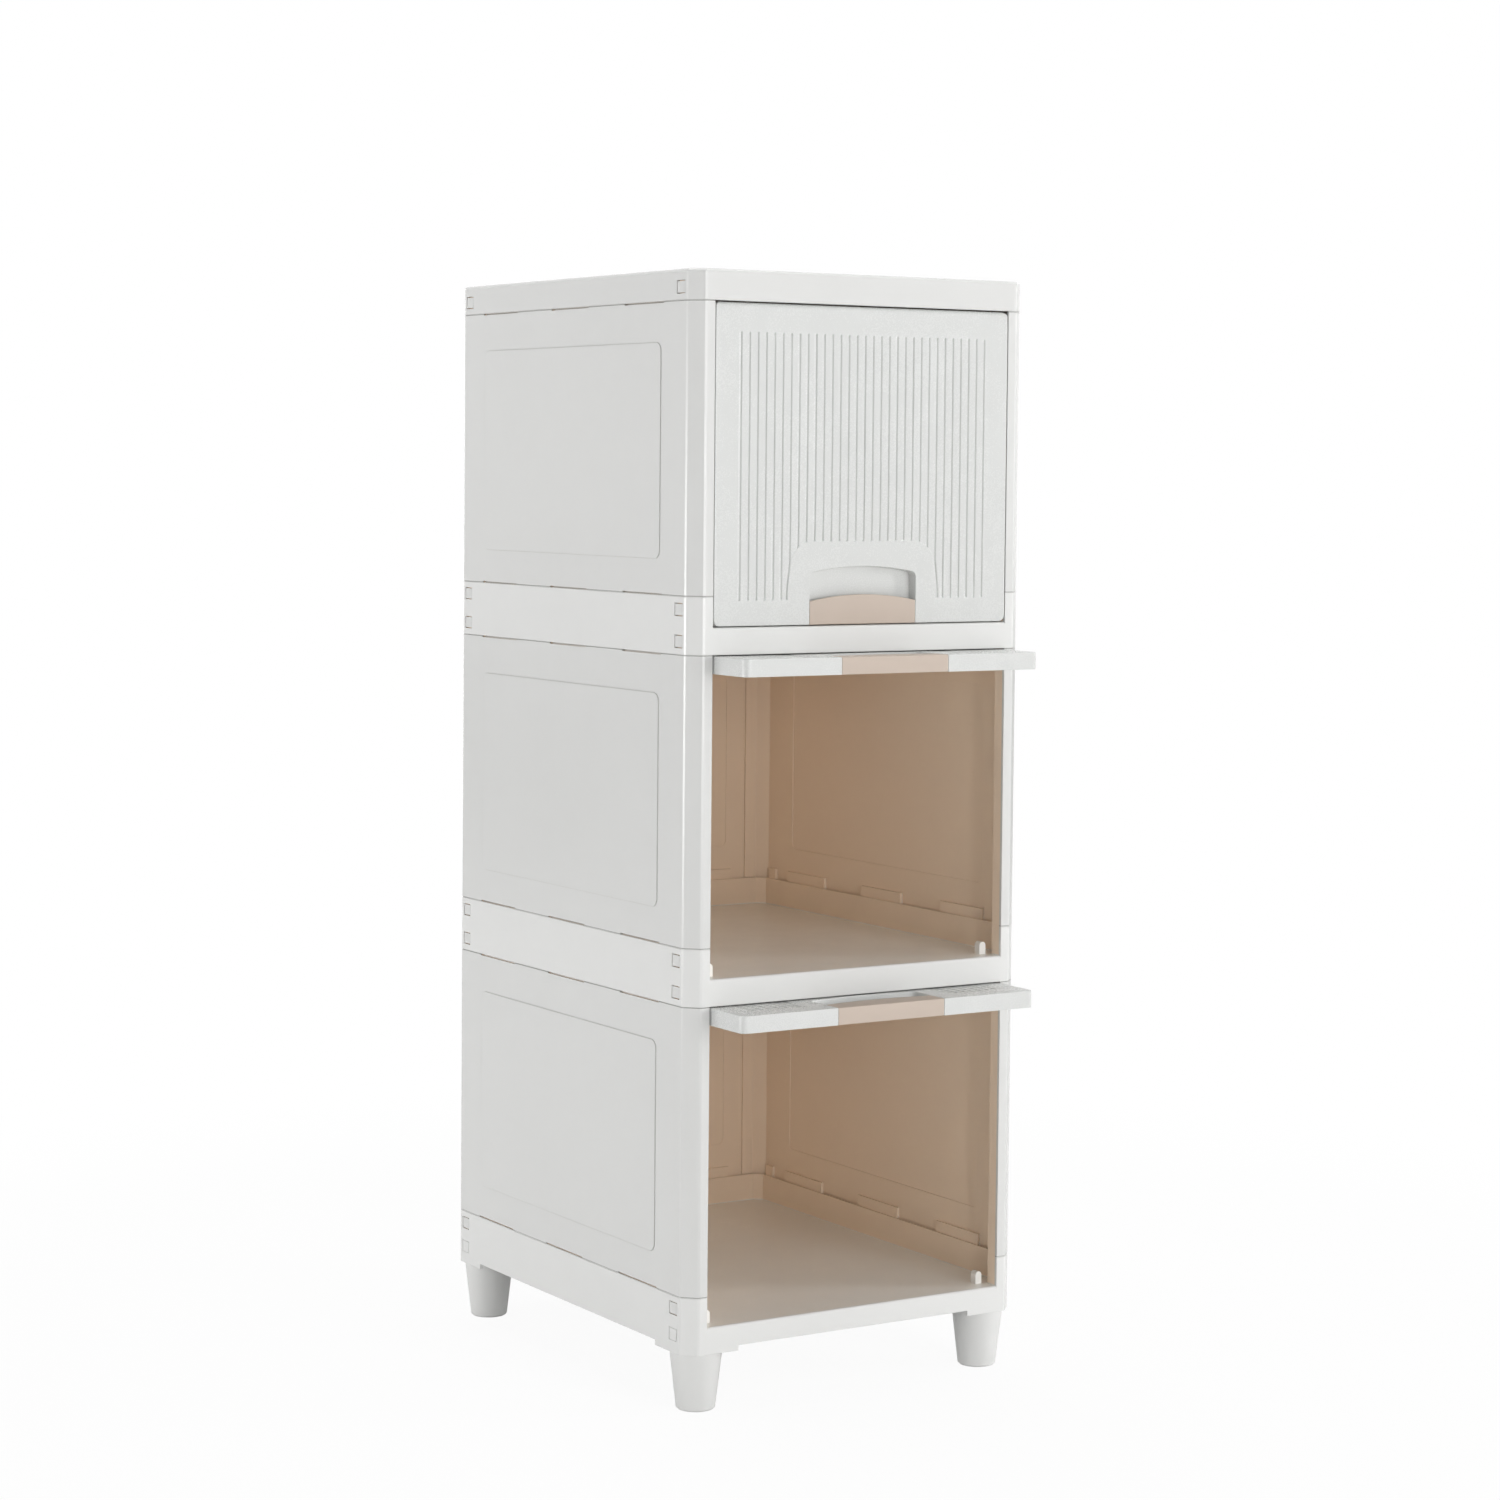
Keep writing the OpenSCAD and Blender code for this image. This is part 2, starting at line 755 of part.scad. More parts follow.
// Two pivot pins, one out of each side of a door
module pin_pair() {
    len = pin_in_door + (shoe_x - door_half) + pin_in_shoe;
    for (s = [0, 1])
        mirror([s, 0, 0]) translate([door_half - pin_in_door, 0, 0]) rotate([0, 90, 0]) pin(len);
}

// A pivot pin with chamfered ends
module pin(len) {
    tip_r = pin_r - pin_chamfer;
    rotate_extrude() polygon([
        [0, 0],
        [tip_r, 0],
        [pin_r, pin_chamfer],
        [pin_r, len - pin_chamfer],
        [tip_r, len],
        [0, len]
    ]);
}

// Two guide shoes, one in each channel
module shoe_pair() {
    for (s = [0, 1])
        mirror([s, 0, 0]) difference() {
            translate([shoe_x, 0, 0]) across(shoe_w) rounded_rect(shoe_len, shoe_h, shoe_r);
            translate([shoe_x - 1, 0, 0]) rotate([0, 90, 0])
                cylinder(r = pin_r + pin_gap, h = pin_in_shoe + seat_gap + 1);
        }
}

// Moves a pivot to its closed place in a tier
module at_pivot(tier, slid = 0) {
    translate([0, front_y + pivot_in + slid, tier_z[tier] + panel_h - pivot_drop]) children();
}

// A door piece in its place: open ones are flipped up and slid back
module hung(tier, is_open) {
    stand() at_pivot(tier, is_open ? travel : 0) rotate([is_open ? -deg_flip : 0, 0, 0]) children();
}

// Moves the door's own frame, with its front lower edge at the origin, onto the pivot
module about_pivot() {
    translate([0, -pivot_in, door_low]) children();
}

// ---------- feet ----------

// A tapered foot, moulded as a cup with a tubular stem that rises out of it
module foot(sx, sy) {
    slope = (foot_top_r - foot_low_r) / foot_h;
    stem_in = stem_r - foot_wall;
    stem_top = foot_h + stem_len;
    stand() translate([sx * foot_x, sy * foot_y, 0]) rotate_extrude($fn = 64) polygon([
        [0, 0],
        [foot_low_r - foot_chamfer, 0],
        [foot_low_r + slope * foot_chamfer, foot_chamfer],
        [foot_top_r, foot_h],
        [foot_top_r - foot_wall, foot_h],
        [foot_low_r - foot_wall + slope * foot_wall, foot_wall],
        [stem_r, foot_wall],
        [stem_r, stem_top],
        [stem_in, stem_top],
        [stem_in, foot_wall],
        [0, foot_wall]
    ]);
}

// ---------- the pieces ----------

module panel_left(tier) {
    color("whitesmoke") stand() translate([0, 0, tier_z[tier]]) side_panel();
}
module panel_right(tier) {
    color("whitesmoke") stand() translate([0, 0, tier_z[tier]]) mirror([1, 0, 0]) side_panel();
}
module panel_back(tier) {
    color("whitesmoke") stand() translate([0, 0, tier_z[tier]]) back_panel();
}
module frame_above(tier) {
    color("white") stand() translate([0, 0, tier_z[tier] + panel_h]) shelf_frame();
}
module door(tier, is_open) {
    color("gainsboro") hung(tier, is_open) about_pivot() door_shell();
}
module grip(tier, is_open) {
    color("rosybrown") hung(tier, is_open) about_pivot() grip_form();
}
module pins(tier, is_open) {
    color("lightgray") hung(tier, is_open) pin_pair();
}
module shoes(tier, is_open) {
    color("ivory") stand() at_pivot(tier, is_open ? travel : 0) shoe_pair();
}

color("whitesmoke") stand() translate([0, 0, cover_z]) top_cover();
panel_left(0);  // left_panel_top
panel_left(1);  // left_panel_middle
panel_left(2);  // left_panel_bottom
panel_right(0);  // right_panel_top
panel_right(1);  // right_panel_middle
panel_right(2);  // right_panel_bottom
panel_back(0);  // back_panel_top
panel_back(1);  // back_panel_middle
panel_back(2);  // back_panel_bottom
frame_above(1);  // upper_shelf_frame
frame_above(2);  // lower_shelf_frame
color("white") stand() translate([0, 0, base_z]) base_frame();
door(0, false);  // door_top
door(1, true);  // door_middle
door(2, true);  // door_bottom
grip(0, false);  // door_grip_top
grip(1, true);  // door_grip_middle
grip(2, true);  // door_grip_bottom
pins(0, false);  // hinge_pins_top
pins(1, true);  // hinge_pins_middle
pins(2, true);  // hinge_pins_bottom
shoes(0, false);  // guide_shoes_top
shoes(1, true);  // guide_shoes_middle
shoes(2, true);  // guide_shoes_bottom
color("white") foot(-1, -1);  // foot_front_left
color("white") foot(1, -1);  // foot_front_right
color("white") foot(-1, 1);  // foot_back_left
color("white") foot(1, 1);  // foot_back_right
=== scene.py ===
"""Dresses a stackable storage cabinet: reeded doors, bowed grips and moulded finishes round its
fixed solids."""
import math

import bpy
import numpy as np
from bpy.props import FloatProperty, FloatVectorProperty, IntProperty, PointerProperty
from bpy.types import Operator, Panel, PropertyGroup
from mathutils import Matrix, Vector


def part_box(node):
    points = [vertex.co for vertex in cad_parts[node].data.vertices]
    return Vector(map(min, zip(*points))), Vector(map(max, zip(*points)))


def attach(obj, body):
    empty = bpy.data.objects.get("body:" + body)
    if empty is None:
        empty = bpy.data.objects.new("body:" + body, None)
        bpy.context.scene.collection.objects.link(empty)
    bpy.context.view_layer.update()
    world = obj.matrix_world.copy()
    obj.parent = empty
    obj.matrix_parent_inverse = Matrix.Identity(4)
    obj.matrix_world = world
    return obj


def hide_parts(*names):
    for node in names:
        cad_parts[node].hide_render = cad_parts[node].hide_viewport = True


bl_info = {
    "name": "Storage Cabinet Dressing",
    "version": (1, 0, 0),
    "blender": (4, 5, 0),
    "location": "3D View > Sidebar > Cabinet",
    "description": "Builds the doors, grips, feet and finishes of a stackable storage cabinet",
    "category": "Object",
}

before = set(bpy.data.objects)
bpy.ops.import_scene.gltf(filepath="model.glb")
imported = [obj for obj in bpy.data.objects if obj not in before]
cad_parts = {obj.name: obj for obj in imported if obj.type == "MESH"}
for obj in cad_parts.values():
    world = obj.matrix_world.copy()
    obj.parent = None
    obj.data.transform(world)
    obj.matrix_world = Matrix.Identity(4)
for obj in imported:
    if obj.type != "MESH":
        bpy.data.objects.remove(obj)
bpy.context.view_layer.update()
MM = 0.001
TIERS = ("top", "middle", "bottom")
OPEN_TIERS = ("middle", "bottom")


def node_size(node):
    """Width, depth and height of a CAD node, in metres."""
    low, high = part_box(node)
    return high - low


DOOR = node_size("door_top")
GRIP = node_size("door_grip_top")
COVER_LOW, COVER_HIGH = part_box("top_cover")
PLAN_HALF_W = (COVER_HIGH.x - COVER_LOW.x) / 2
PLAN_HALF_D = (COVER_HIGH.y - COVER_LOW.y) / 2
PLAN_MIDDLE = (COVER_HIGH.y + COVER_LOW.y) / 2

# What the finishes follow on the fixed solids, in metres.
CORNER_CUT = 0.0124  # from a corner of the plan to either end of its cut
SKIN_HALF = 0.0015  # half a wall: the painted tan shade starts behind it on faces that look inwards
DEEP = 0.0032  # just past a wall: every face further in gets the painted tan shade
COVER_SKIN = 0.0015  # what the painted tan shade keeps off the cover's upper face
FIELD_R = 0.008  # corner radius of a panel's raised field
SHELF_TOP = {"upper_shelf_frame": 0.720, "lower_shelf_frame": 0.400, "base_frame": 0.080}
STOP_TOP = 0.0135  # height of the door stops over their shelf
STOP_HALF_W = 0.1622  # half the width in which the stops stand
STOP_REACH = 0.045  # depth behind the front in which they stand

# Painted shadow and shade lines, and turned normals, in metres.
SEAM_HALF = 0.00035  # half the width of the painted shadow line where two mouldings meet
CREASE_HALF = 0.0005  # half the width of the crease round a raised field, where shade is painted
TURN_HALF = 0.0022  # half the width over which the normal goes round one edge of a cut corner
TURN = 0.0012  # width of each of the two eases in it
INWARD = 0.02  # a face looks inwards where its direction times its place is under minus this
OUTWARD = 0.001  # and outwards where that product is over minus this
LEVEL = 0.3  # the upward part of its direction from which a face counts as level
PLATE_BELOW, PLATE_ABOVE = 0.0008, 0.0006  # what counts as a shelf's upper face round its level, where a brighter white is painted as light

# A door's moulded details, in millimetres.
PIN_BOSS_W, PIN_BOSS_H = 13.2, 17.8  # the solid block round a pivot pin, at each upper corner
GRIP_SEAT = 2.9  # depth of the seat that takes the grip's plates, in the front and from below
SEAT_SLOPE = 0.02  # slope of the seat from below, which keeps the lines there apart
SEAT_TOP = 5.1  # height up to which the seat in the front runs
HOOK_SEAT = 11.0  # height of the seat of the grip's hook
CUP_BACK = 12.8  # depth of the back of the pocket's cup
POCKET_CORNER = 4.0  # radius of the pocket's upper corners
POCKET_LIP = 0.35  # depth of the pocket's softened edge
GROOVE_PLACES = (0, 0.6, 1.08, 1.3)  # a groove's section: distances from its middle
GROOVE_SHARES = (1, 0.94, 0.12, 0)  # and the share of its depth there
GROOVE_END = 1.7  # length over which a groove runs out
GROOVE_OVER_ARCH = 0.2  # height over the arch at which the grooves above it start
ARCH_OFFSET = 5  # the arch's half width over its height, before it moves to a groove
ARCH_BESIDE = 1.4  # from the middle of that groove to the arch's side
PAD_DROP = 0.3  # drop from the arch's pad to the bars beside it
PAD_EDGE = 0.7  # width of that drop's slope
PAD_KEEP, PAD_FADE = 3, 22  # how far out the drop holds, and over what it fades then
FIELD_EASE = 0.6  # half the height over which the drop starts at the field's lower edge
STEP = 0.12  # half the width of the slope at an upright step

# How the door's lines are warped, in millimetres on the even door.
POCKET_SPREAD = (24, 70)  # heights between which lines follow the pocket's bow
POCKET_HOLD = (-0.6, 2.4)  # and, from the pocket's edge, those between which they do so in full
POCKET_TURN = (61, 68)  # the corner's drop is full up to the first of these and ends at the other
ARCH_SPREAD = (51, 115)  # heights between which lines follow the arch's shoulders
ARCH_HOLD = (0, 3)  # and, from the arch's top, those between which they do so in full
ARCH_SHOULDER = 0.9  # how far past the arch's side its shoulder ends
ARCH_LEAN = 3.2  # how far the arch's foot leans out
LEAN_TOP, LEAN_HEIGHT = 62, 34  # the height where the lean starts, and its length down from there
LEAN_BAND = (74, 79, 82.6, 88)  # the lean starts, is full, starts to fade and ends at these
CORNER_FROM = 150  # distance from the middle past which lines follow the door's round corners
NEAR_UPRIGHT = 0.995, 0.962  # share of a round corner that lines follow, at pocket and arch

# The door's grid lines where it needs them close together, in millimetres.
GROOVE_LINES = np.array([-2.8, -1.3, -1.08, -0.6, 0, 0.6, 1.08, 1.3, 2.8])
POCKET_SIDE_LINES = np.array([-4, -2.8, -1.7, -0.8, -0.3, -0.1, 0.1, 0.3, 0.7, 2.08, 2.32])
POCKET_TOP_LINES = np.array([-0.6, -0.2, 0.0, 0.25, 0.6, 1.2, 2.08, 2.32])
ARCH_SIDE_LINES = [65, 68, 74, 76, 77.4, 78.4, 79.1]
ARCH_TOP_LINES = np.array([-1.2, -0.4, 0, 0.3, 0.7, 1.2, 1.9, 3])
FIELD_EDGE_LINES = np.array([-0.6, 0, 0.5, 1.1, 1.9])
BORDER_LINES = [137.5, 139.5, 142, 146]
CORNER_LINES = [150, 153, 156, 158.4, 160.2]
SEAT_LINES = [1.3, 2.0, 2.9, 4.1, 5.0, 5.2, 7.5, 10.88, 11.12, 14, 18]

# A grip's section, in millimetres.
ARC_POINTS = 5  # points round one of its corners
THROAT_R, HOOK_R, HEEL_R, TOE_R = 0.5, 0.6, 0.8, 0.9  # inner, hook's and lower corners
GRIP_LINES = 41  # sections between the ends
END_MARGIN = 2.0  # from an end to the first of them
END_DRAW = 0.7  # share of the edge radius by which the ends draw in
END_SHRINK = 0.35  # share of that by which the section itself grows smaller

# The camera and the surroundings, in metres and degrees.
CAMERA_PLACE = (-1.7887, -2.8661, 0.8649)
CAMERA_YAW, CAMERA_PITCH, CAMERA_ROLL = 32.021, 3.021, 0.506
CAMERA_LENS, CAMERA_SENSOR, CAMERA_SHIFT = 83.0, 36.0, -1 / 15
ROOM_LIGHT = 0.26  # strength of the even light all round
FLOOR_REACH = 14.0  # half the floor's side
SHADOW_NEAR, SHADOW_FAR = 0.75, 1.5  # the floor turns white between these distances
FLOOR_WHITE = 0.94  # share of plain white in the floor near the cabinet

# The soft lamps: name, place, what each faces, width and height in metres, power in watts.
LAMPS = (
    ("front_strip", (-1.20, -4.54, 0.80), (-0.17, -0.25, 0.55), 0.24, 1.5, 30),
    ("left_strip", (-4.08, 0.70, 0.50), (-0.18, 0, 0.40), 0.20, 0.92, 30),
    ("back_left_panel", (-3.3, 2.6, 0.7), (0, 0, 0.3), 1.0, 1.2, 30),
    ("right_panel", (3.7, -2.2, 1.4), (0, 0, 0.5), 1.0, 1.4, 46),
    ("front_panel", (1.0, -4.4, 0.95), (0, 0, 0.55), 0.9, 1.1, 42),
    ("top_panel", (0.1, -3.2, 3.0), (0, 0, 0.6), 1.6, 1.0, 8),
    ("overhead_panel", (0.2, 0.2, 3.8), (0, 0, 0), 2.2, 2.2, 54),
    ("back_panel", (1.3, 4.2, 0.9), (0, 0, 0.5), 3.0, 2.0, 40),
)


def node_points(node):
    """A CAD node's corner points, in metres."""
    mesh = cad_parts[node].data
    points = np.empty(len(mesh.vertices) * 3)
    mesh.vertices.foreach_get("co", points)
    return points.reshape(-1, 3)


def skin_extent(node, axis, plane, slack=0.0002):
    """Lowest and highest corner of a node's points that lie on a plane across an axis."""
    points = node_points(node)
    on_plane = points[np.abs(points[:, axis] - plane) < slack]
    return on_plane.min(axis=0), on_plane.max(axis=0)


SIDE_SKINS = [skin_extent("left_panel_" + tier, 0, -PLAN_HALF_W) for tier in TIERS]
SEAMS = sorted(float(corner[2]) for extent in SIDE_SKINS for corner in extent)


def paint(red, green, blue):
    """A display colour of 0 to 255 as the linear colour that the shaders take."""
    c = np.array([red, green, blue]) / 255
    linear = np.where(c <= 0.04045, c / 12.92, ((c + 0.055) / 1.055) ** 2.4)
    return tuple(float(v) for v in linear)


# ---------- what a user would change ----------

def length(name, description, default):
    """A length in metres for the sidebar."""
    return FloatProperty(
        name=name, description=description, default=default, min=0.0, precision=5, unit="LENGTH"
    )


def colour(name, description, default):
    """A colour for the sidebar."""
    return FloatVectorProperty(
        name=name, description=description, default=default, size=3, min=0.0, max=1.0,
        subtype="COLOR",
    )


class CabinetDoorSizes(PropertyGroup):
    """Sizes of the reeded doors."""

    corner_radius: length("Corner radius", "Radius of a door's corners, seen from the front", 0.006)
    edge_radius: length("Edge radius", "Rounding along the edges of a door's face", 0.0008)
    top_radius: length("Top radius", "Rounding of a door's top front edge", 0.0045)
    skin: length("Skin", "Thickness of a door's front skin", 0.0026)
    rib: length("Rib", "Thickness of the flanges and ribs behind a door", 0.0022)
    cells_across: IntProperty(
        name="Cells across", description="Rib cells from side to side", default=4, min=1
    )
    cells_up: IntProperty(
        name="Cells up", description="Rib cells from bottom to top", default=3, min=1
    )
    reeds: IntProperty(name="Grooves", description="Number of upright grooves", default=31, min=1)
    reed_pitch: length("Groove pitch", "Distance from one groove to the next", 0.009)
    reed_depth: length("Groove depth", "Depth of a groove", 0.0016)
    reed_bulge: length("Bar bulge", "Rise of the bars between the grooves", 0.00025)
    reed_low: length("Border below", "Smooth border below the grooves", 0.0225)
    reed_high: length("Border above", "Smooth border above the grooves", 0.026)
    arch_height: length("Arch height", "Height of the smooth arch round the handle", 0.076)
    arch_radius: length("Arch radius", "Radius of the arch's upper corners", 0.024)
    pocket_width: length("Pocket width", "Width of the finger pocket", 0.118)
    pocket_height: length("Pocket height", "Height of the pocket's ends over the edge", 0.0475)
    pocket_depth: length("Pocket depth", "Depth of the finger pocket", 0.0106)
    bow: length("Bow", "Rise of the curved edges of pocket and grip", 0.006)


class CabinetGripSizes(PropertyGroup):
    """Sizes of the clip-on grips."""

    thickness: length("Thickness", "Thickness of a grip's plates", 0.0026)
    end_height: length("End height", "Height of a grip's front plate at its ends", 0.0214)
    hook_height: length("Hook height", "Height of the hook behind the door's edge", 0.0107)
    hook_thickness: length("Hook thickness", "Thickness of that hook", 0.0029)
    edge_radius: length("Edge radius", "Rounding of a grip's edges", 0.0007)


class CabinetFinishes(PropertyGroup):
    """Colours of the mouldings."""

    shell: colour("Shell", "Satin white of the cover and panels", paint(225, 225, 223))
    band: colour("Frames", "Satin white of the shelf frames and base", paint(234, 234, 232))
    # the tan of the inner faces is painted warm shade on the same white plastic
    inside_shade: colour("Lining", "Tan of the inner faces", paint(250, 229, 206))
    # the seams' colour is a painted shadow in the gaps between mouldings
    seam: colour("Seams", "Shade of the lines between mouldings", paint(160, 159, 156))
    # the creases' colour is painted shade in the crease round a raised field
    crease: colour("Creases", "Shade of the crease round a raised field", paint(207, 207, 204))
    # the shelves' white is brighter than the frames' own white: painted light on the upward faces
    # inside
    shelf: colour("Shelves", "Glossy white of the shelf plates", paint(250, 249, 245))
    door: colour("Doors", "White of the doors", paint(219, 220, 218))
    grip: colour("Grips", "Taupe of the grips", paint(199, 184, 171))
    foot: colour("Feet", "White of the feet", paint(230, 230, 228))
    pin: colour("Pins", "Bare steel of the pivot pins", paint(190, 190, 192))
    shoe: colour("Shoes", "Natural white of the guide shoes", paint(236, 234, 226))
    floor: colour("Floor", "Pale studio floor", paint(252, 252, 252))


# ---------- shader arithmetic ----------

class Value:
    """A socket that can stand in an expression: each operator adds one Math node to its graph."""

    def __init__(self, graph, socket):
        self.graph = graph
        self.socket = socket

    def math(self, operation, *operands):
        """The result of a Math node on these operands."""
        sockets = dict(enumerate(operands))
        return self.graph.node("ShaderNodeMath", {"operation": operation}, sockets)

    def sibling(self, output):
        """Another output of the same node."""
        return Value(self.graph, self.socket.node.outputs[output])

    def __add__(self, other):
        return self.math("ADD", self, other)

    def __radd__(self, other):
        return self.math("ADD", other, self)

    def __sub__(self, other):
        return self.math("SUBTRACT", self, other)

    def __rsub__(self, other):
        return self.math("SUBTRACT", other, self)

    def __mul__(self, other):
        return self.math("MULTIPLY", self, other)

    def __rmul__(self, other):
        return self.math("MULTIPLY", other, self)

    def __abs__(self):
        return self.math("ABSOLUTE", self)

    def __gt__(self, other):
        return self.math("GREATER_THAN", self, other)

    def __lt__(self, other):
        return self.math("LESS_THAN", self, other)

    def swing(self, amount):
        """A noise about 0.5 as a variation of this amount about 0."""
        return (self - 0.5) * amount

    def root(self):
        """The square root."""
        return self.math("SQRT", self)

    def sign(self):
        """-1 below zero and 1 above."""
        return self.math("SIGN", self)

    def at_least(self, other):
        """The greater of the two."""
        return self.math("MAXIMUM", self, other)


def either(masks):
    """1 where any of the masks is 1."""
    joined, *others = masks
    for mask in others:
        joined = joined.at_least(mask)
    return joined


class Graph:
    """The node tree of one material or world."""

    def __init__(self, owner):
        self.owner = owner
        owner.use_nodes = True
        self.tree = owner.node_tree
        self.tree.nodes.clear()

    def node(self, kind, settings=None, sockets=None, output=0):
        """Adds a node: its settings first, then the values or links of its sockets. Returns one
        output."""
        made = self.tree.nodes.new(kind)
        for key, value in (settings or {}).items():
            setattr(made, key, value)
        for key, value in (sockets or {}).items():
            target = made.inputs[key]
            if isinstance(value, Value):
                self.tree.links.new(value.socket, target)
            elif isinstance(value, tuple) and target.type == "RGBA":
                target.default_value = (*value, 1.0)[:4]
            else:
                target.default_value = value
        return Value(self, made.outputs[output])

    def place(self):
        """The point on the object, in its own coordinates."""
        return self.node("ShaderNodeTexCoord", output="Object")

    def facing(self):
        """The three parts of the face's own direction."""
        return self.axes(self.node("ShaderNodeTexCoord", output="Normal"))

    def axes(self, vector):
        """The three parts of a vector."""
        first = self.node("ShaderNodeSeparateXYZ", sockets={0: vector})
        return [first, first.sibling(1), first.sibling(2)]

    def noise(self, place, scale, detail=2.0, roughness=0.5):
        """Soft noise about 0.5, with scale features to the metre."""
        return self.node(
            "ShaderNodeTexNoise",
            sockets={"Vector": place, "Scale": scale, "Detail": detail, "Roughness": roughness},
        )

    def step(self, value, start, end):
        """0 below start, 1 above end, and an even ease between."""
        return self.node(
            "ShaderNodeMapRange",
            {"interpolation_type": "SMOOTHSTEP"},
            {"Value": value, "From Min": start, "From Max": end},
        )

    def mix(self, share, first, second):
        """First and second colour mixed by share."""
        colours = {"Factor": share, 6: first, 7: second}
        return self.node("ShaderNodeMix", {"data_type": "RGBA"}, colours, output=2)

    def blend(self, share, first, second):
        """First and second direction mixed by share, one long."""
        directions = {"Factor": share, 4: first, 5: second}
        mixed = self.node("ShaderNodeMix", {"data_type": "VECTOR"}, directions, output=1)
        return self.node("ShaderNodeVectorMath", {"operation": "NORMALIZE"}, {0: mixed})

    def tone(self, shade, amount):
        """A colour made lighter or darker by a factor that varies about 1."""
        return self.node(
            "ShaderNodeVectorMath", {"operation": "SCALE"}, {0: shade, "Scale": amount}
        )

    def colour(self, shade):
        """A plain colour as a link."""
        return self.mix(0.0, shade, shade)

    def finish(self, shader, output="ShaderNodeOutputMaterial"):
        """Joins the shader to the output, and returns the material or world."""
        out = self.tree.nodes.new(output)
        self.tree.links.new(shader.socket, out.inputs["Surface"])
        return self.owner


def moulded(name, shade, roughness=0.24, peel=0.00003, peel_scale=520, soft_edge=0.0007,
            zones=(), corners=None, drift=0.03, specular=0.5):
    """Injection moulded plastic: a slow drift of tone, fine specks, uneven gloss, an orange-peel
    skin and soft edges. Each zone is a mask of the place, the colour that shows where it is 1, and
    what it adds to the roughness there. Corners gives a mask and the normal that holds there."""
    g = Graph(bpy.data.materials.new(name))
    place = g.place()
    flow = g.noise(place, 5.0, 3.0)
    haze = g.noise(place, 38.0, 2.0)
    speck = g.noise(place, 900.0, 1.0)
    tone = 1 + flow.swing(drift) + haze.swing(0.014) + speck.swing(0.012)
    base = g.colour(shade)
    gloss = roughness + haze.swing(0.03) + flow.swing(0.04) + speck.swing(0.05)
    for mask, zone_shade, rougher in zones:
        inside = mask(g, place)
        base = g.mix(inside, base, zone_shade)
        gloss = gloss + inside * rougher
    edges = g.node("ShaderNodeBevel", {"samples": 6}, {"Radius": soft_edge})
    if corners is not None:
        near, rounded = corners(g, place, edges)
        edges = g.blend(near, edges, rounded)
    skin = g.noise(place, peel_scale, 2.0, 0.45) + g.noise(place, 60.0, 1.0) * 0.35
    bump = g.node(
        "ShaderNodeBump",
        sockets={"Strength": 0.5, "Distance": peel, "Height": skin, "Normal": edges},
    )
    shader = g.node(
        "ShaderNodeBsdfPrincipled",
        sockets={
            "Base Color": g.tone(base, tone),
            "Roughness": gloss,
            "Normal": bump,
            "Specular IOR Level": specular,
            "IOR": 1.49,
        },
    )
    return g.finish(shader)


def steel(name, shade):
    """Drawn steel wire: fine rings of brushing along the pin and a slight variation of gloss."""
    g = Graph(bpy.data.materials.new(name))
    place = g.place()
    across, _, _ = g.axes(place)
    rings = g.noise(g.node("ShaderNodeCombineXYZ", sockets={0: across}), 3000.0, 3.0)
    cloud = g.noise(place, 160.0, 2.0)
    tone = 1 + rings.swing(0.08) + cloud.swing(0.10)
    bump = g.node("ShaderNodeBump", sockets={"Strength": 0.3, "Distance": 0.00002, "Height": rings})
    shader = g.node(
        "ShaderNodeBsdfPrincipled",
        sockets={
            "Base Color": g.tone(g.colour(shade), tone),
            "Metallic": 1.0,
            "Roughness": 0.28 + cloud.swing(0.14) + rings.swing(0.08),
            "Normal": bump,
        },
    )
    return g.finish(shader)


def dress(node, material):
    """Gives a CAD node its material."""
    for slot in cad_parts[node].material_slots:
        slot.material = material


# ---------- meshes from numpy ----------

def ease(t):
    """0 to 1 along 3t^2 - 2t^3, held at both ends."""
    t = np.clip(t, 0, 1)
    return t * t * (3 - 2 * t)


def fade(value, start, end):
    """0 at start and 1 at end along a straight line, held at both ends."""
    return np.clip((value - start) / (end - start), 0, 1)


def rounding(gap, r):
    """Depth of a round edge at a distance from it: r less the root of r^2 - (r - gap)^2, and 0
    from r inwards."""
    return r - np.sqrt(np.maximum(r**2 - np.clip(r - gap, 0, r) ** 2, 0))


def grid_lines(*groups, near=0.05):
    """Grid lines from several groups in one rising row. A line stays only at least near after
    the one before it."""
    row = np.unique(np.concatenate([np.ravel(g) for g in groups]))
    gap = np.diff(row, prepend=row[0] - 1)
    return row[gap >= near]


def both(values):
    """Values on both sides of zero."""
    values = np.asarray(values, float)
    return np.concatenate([-values, values])


def step_lines(places):
    """The two grid lines of an upright step at each place."""
    return np.asarray(places, float)[..., None] + np.array([-STEP, STEP])


def quads(a, b, c, d):
    """Quad faces from four equal arrays of corner numbers."""
    return np.stack([np.ravel(a), np.ravel(b), np.ravel(c), np.ravel(d)], axis=1)


def make_piece(name, points, faces, sharp=40.0):
    """An object at the origin from points in millimetres and faces by corner numbers."""
    mesh = bpy.data.meshes.new(name)
    mesh.from_pydata(points * MM, [], faces)
    mesh.validate()
    mesh.polygons.foreach_set("use_smooth", np.ones(len(mesh.polygons), bool))
    mesh.set_sharp_from_angle(angle=math.radians(sharp))
    mesh.update()
    piece = bpy.data.objects.new(name, mesh)
    bpy.context.scene.collection.objects.link(piece)
    return piece


def door_place(points, tier):
    """Takes points (across, in from the face, up from the lower edge) to a door's place: a closed
    door stands up, and an open one lies face up with its lower edge to the front."""
    low, high = (np.array(corner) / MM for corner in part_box("door_" + tier))
    x, y, z = points.T
    if tier in OPEN_TIERS:
        return np.stack([x, low[1] + z, high[2] - y], axis=1)
    return np.stack([x, low[1] + y, low[2] + z], axis=1)


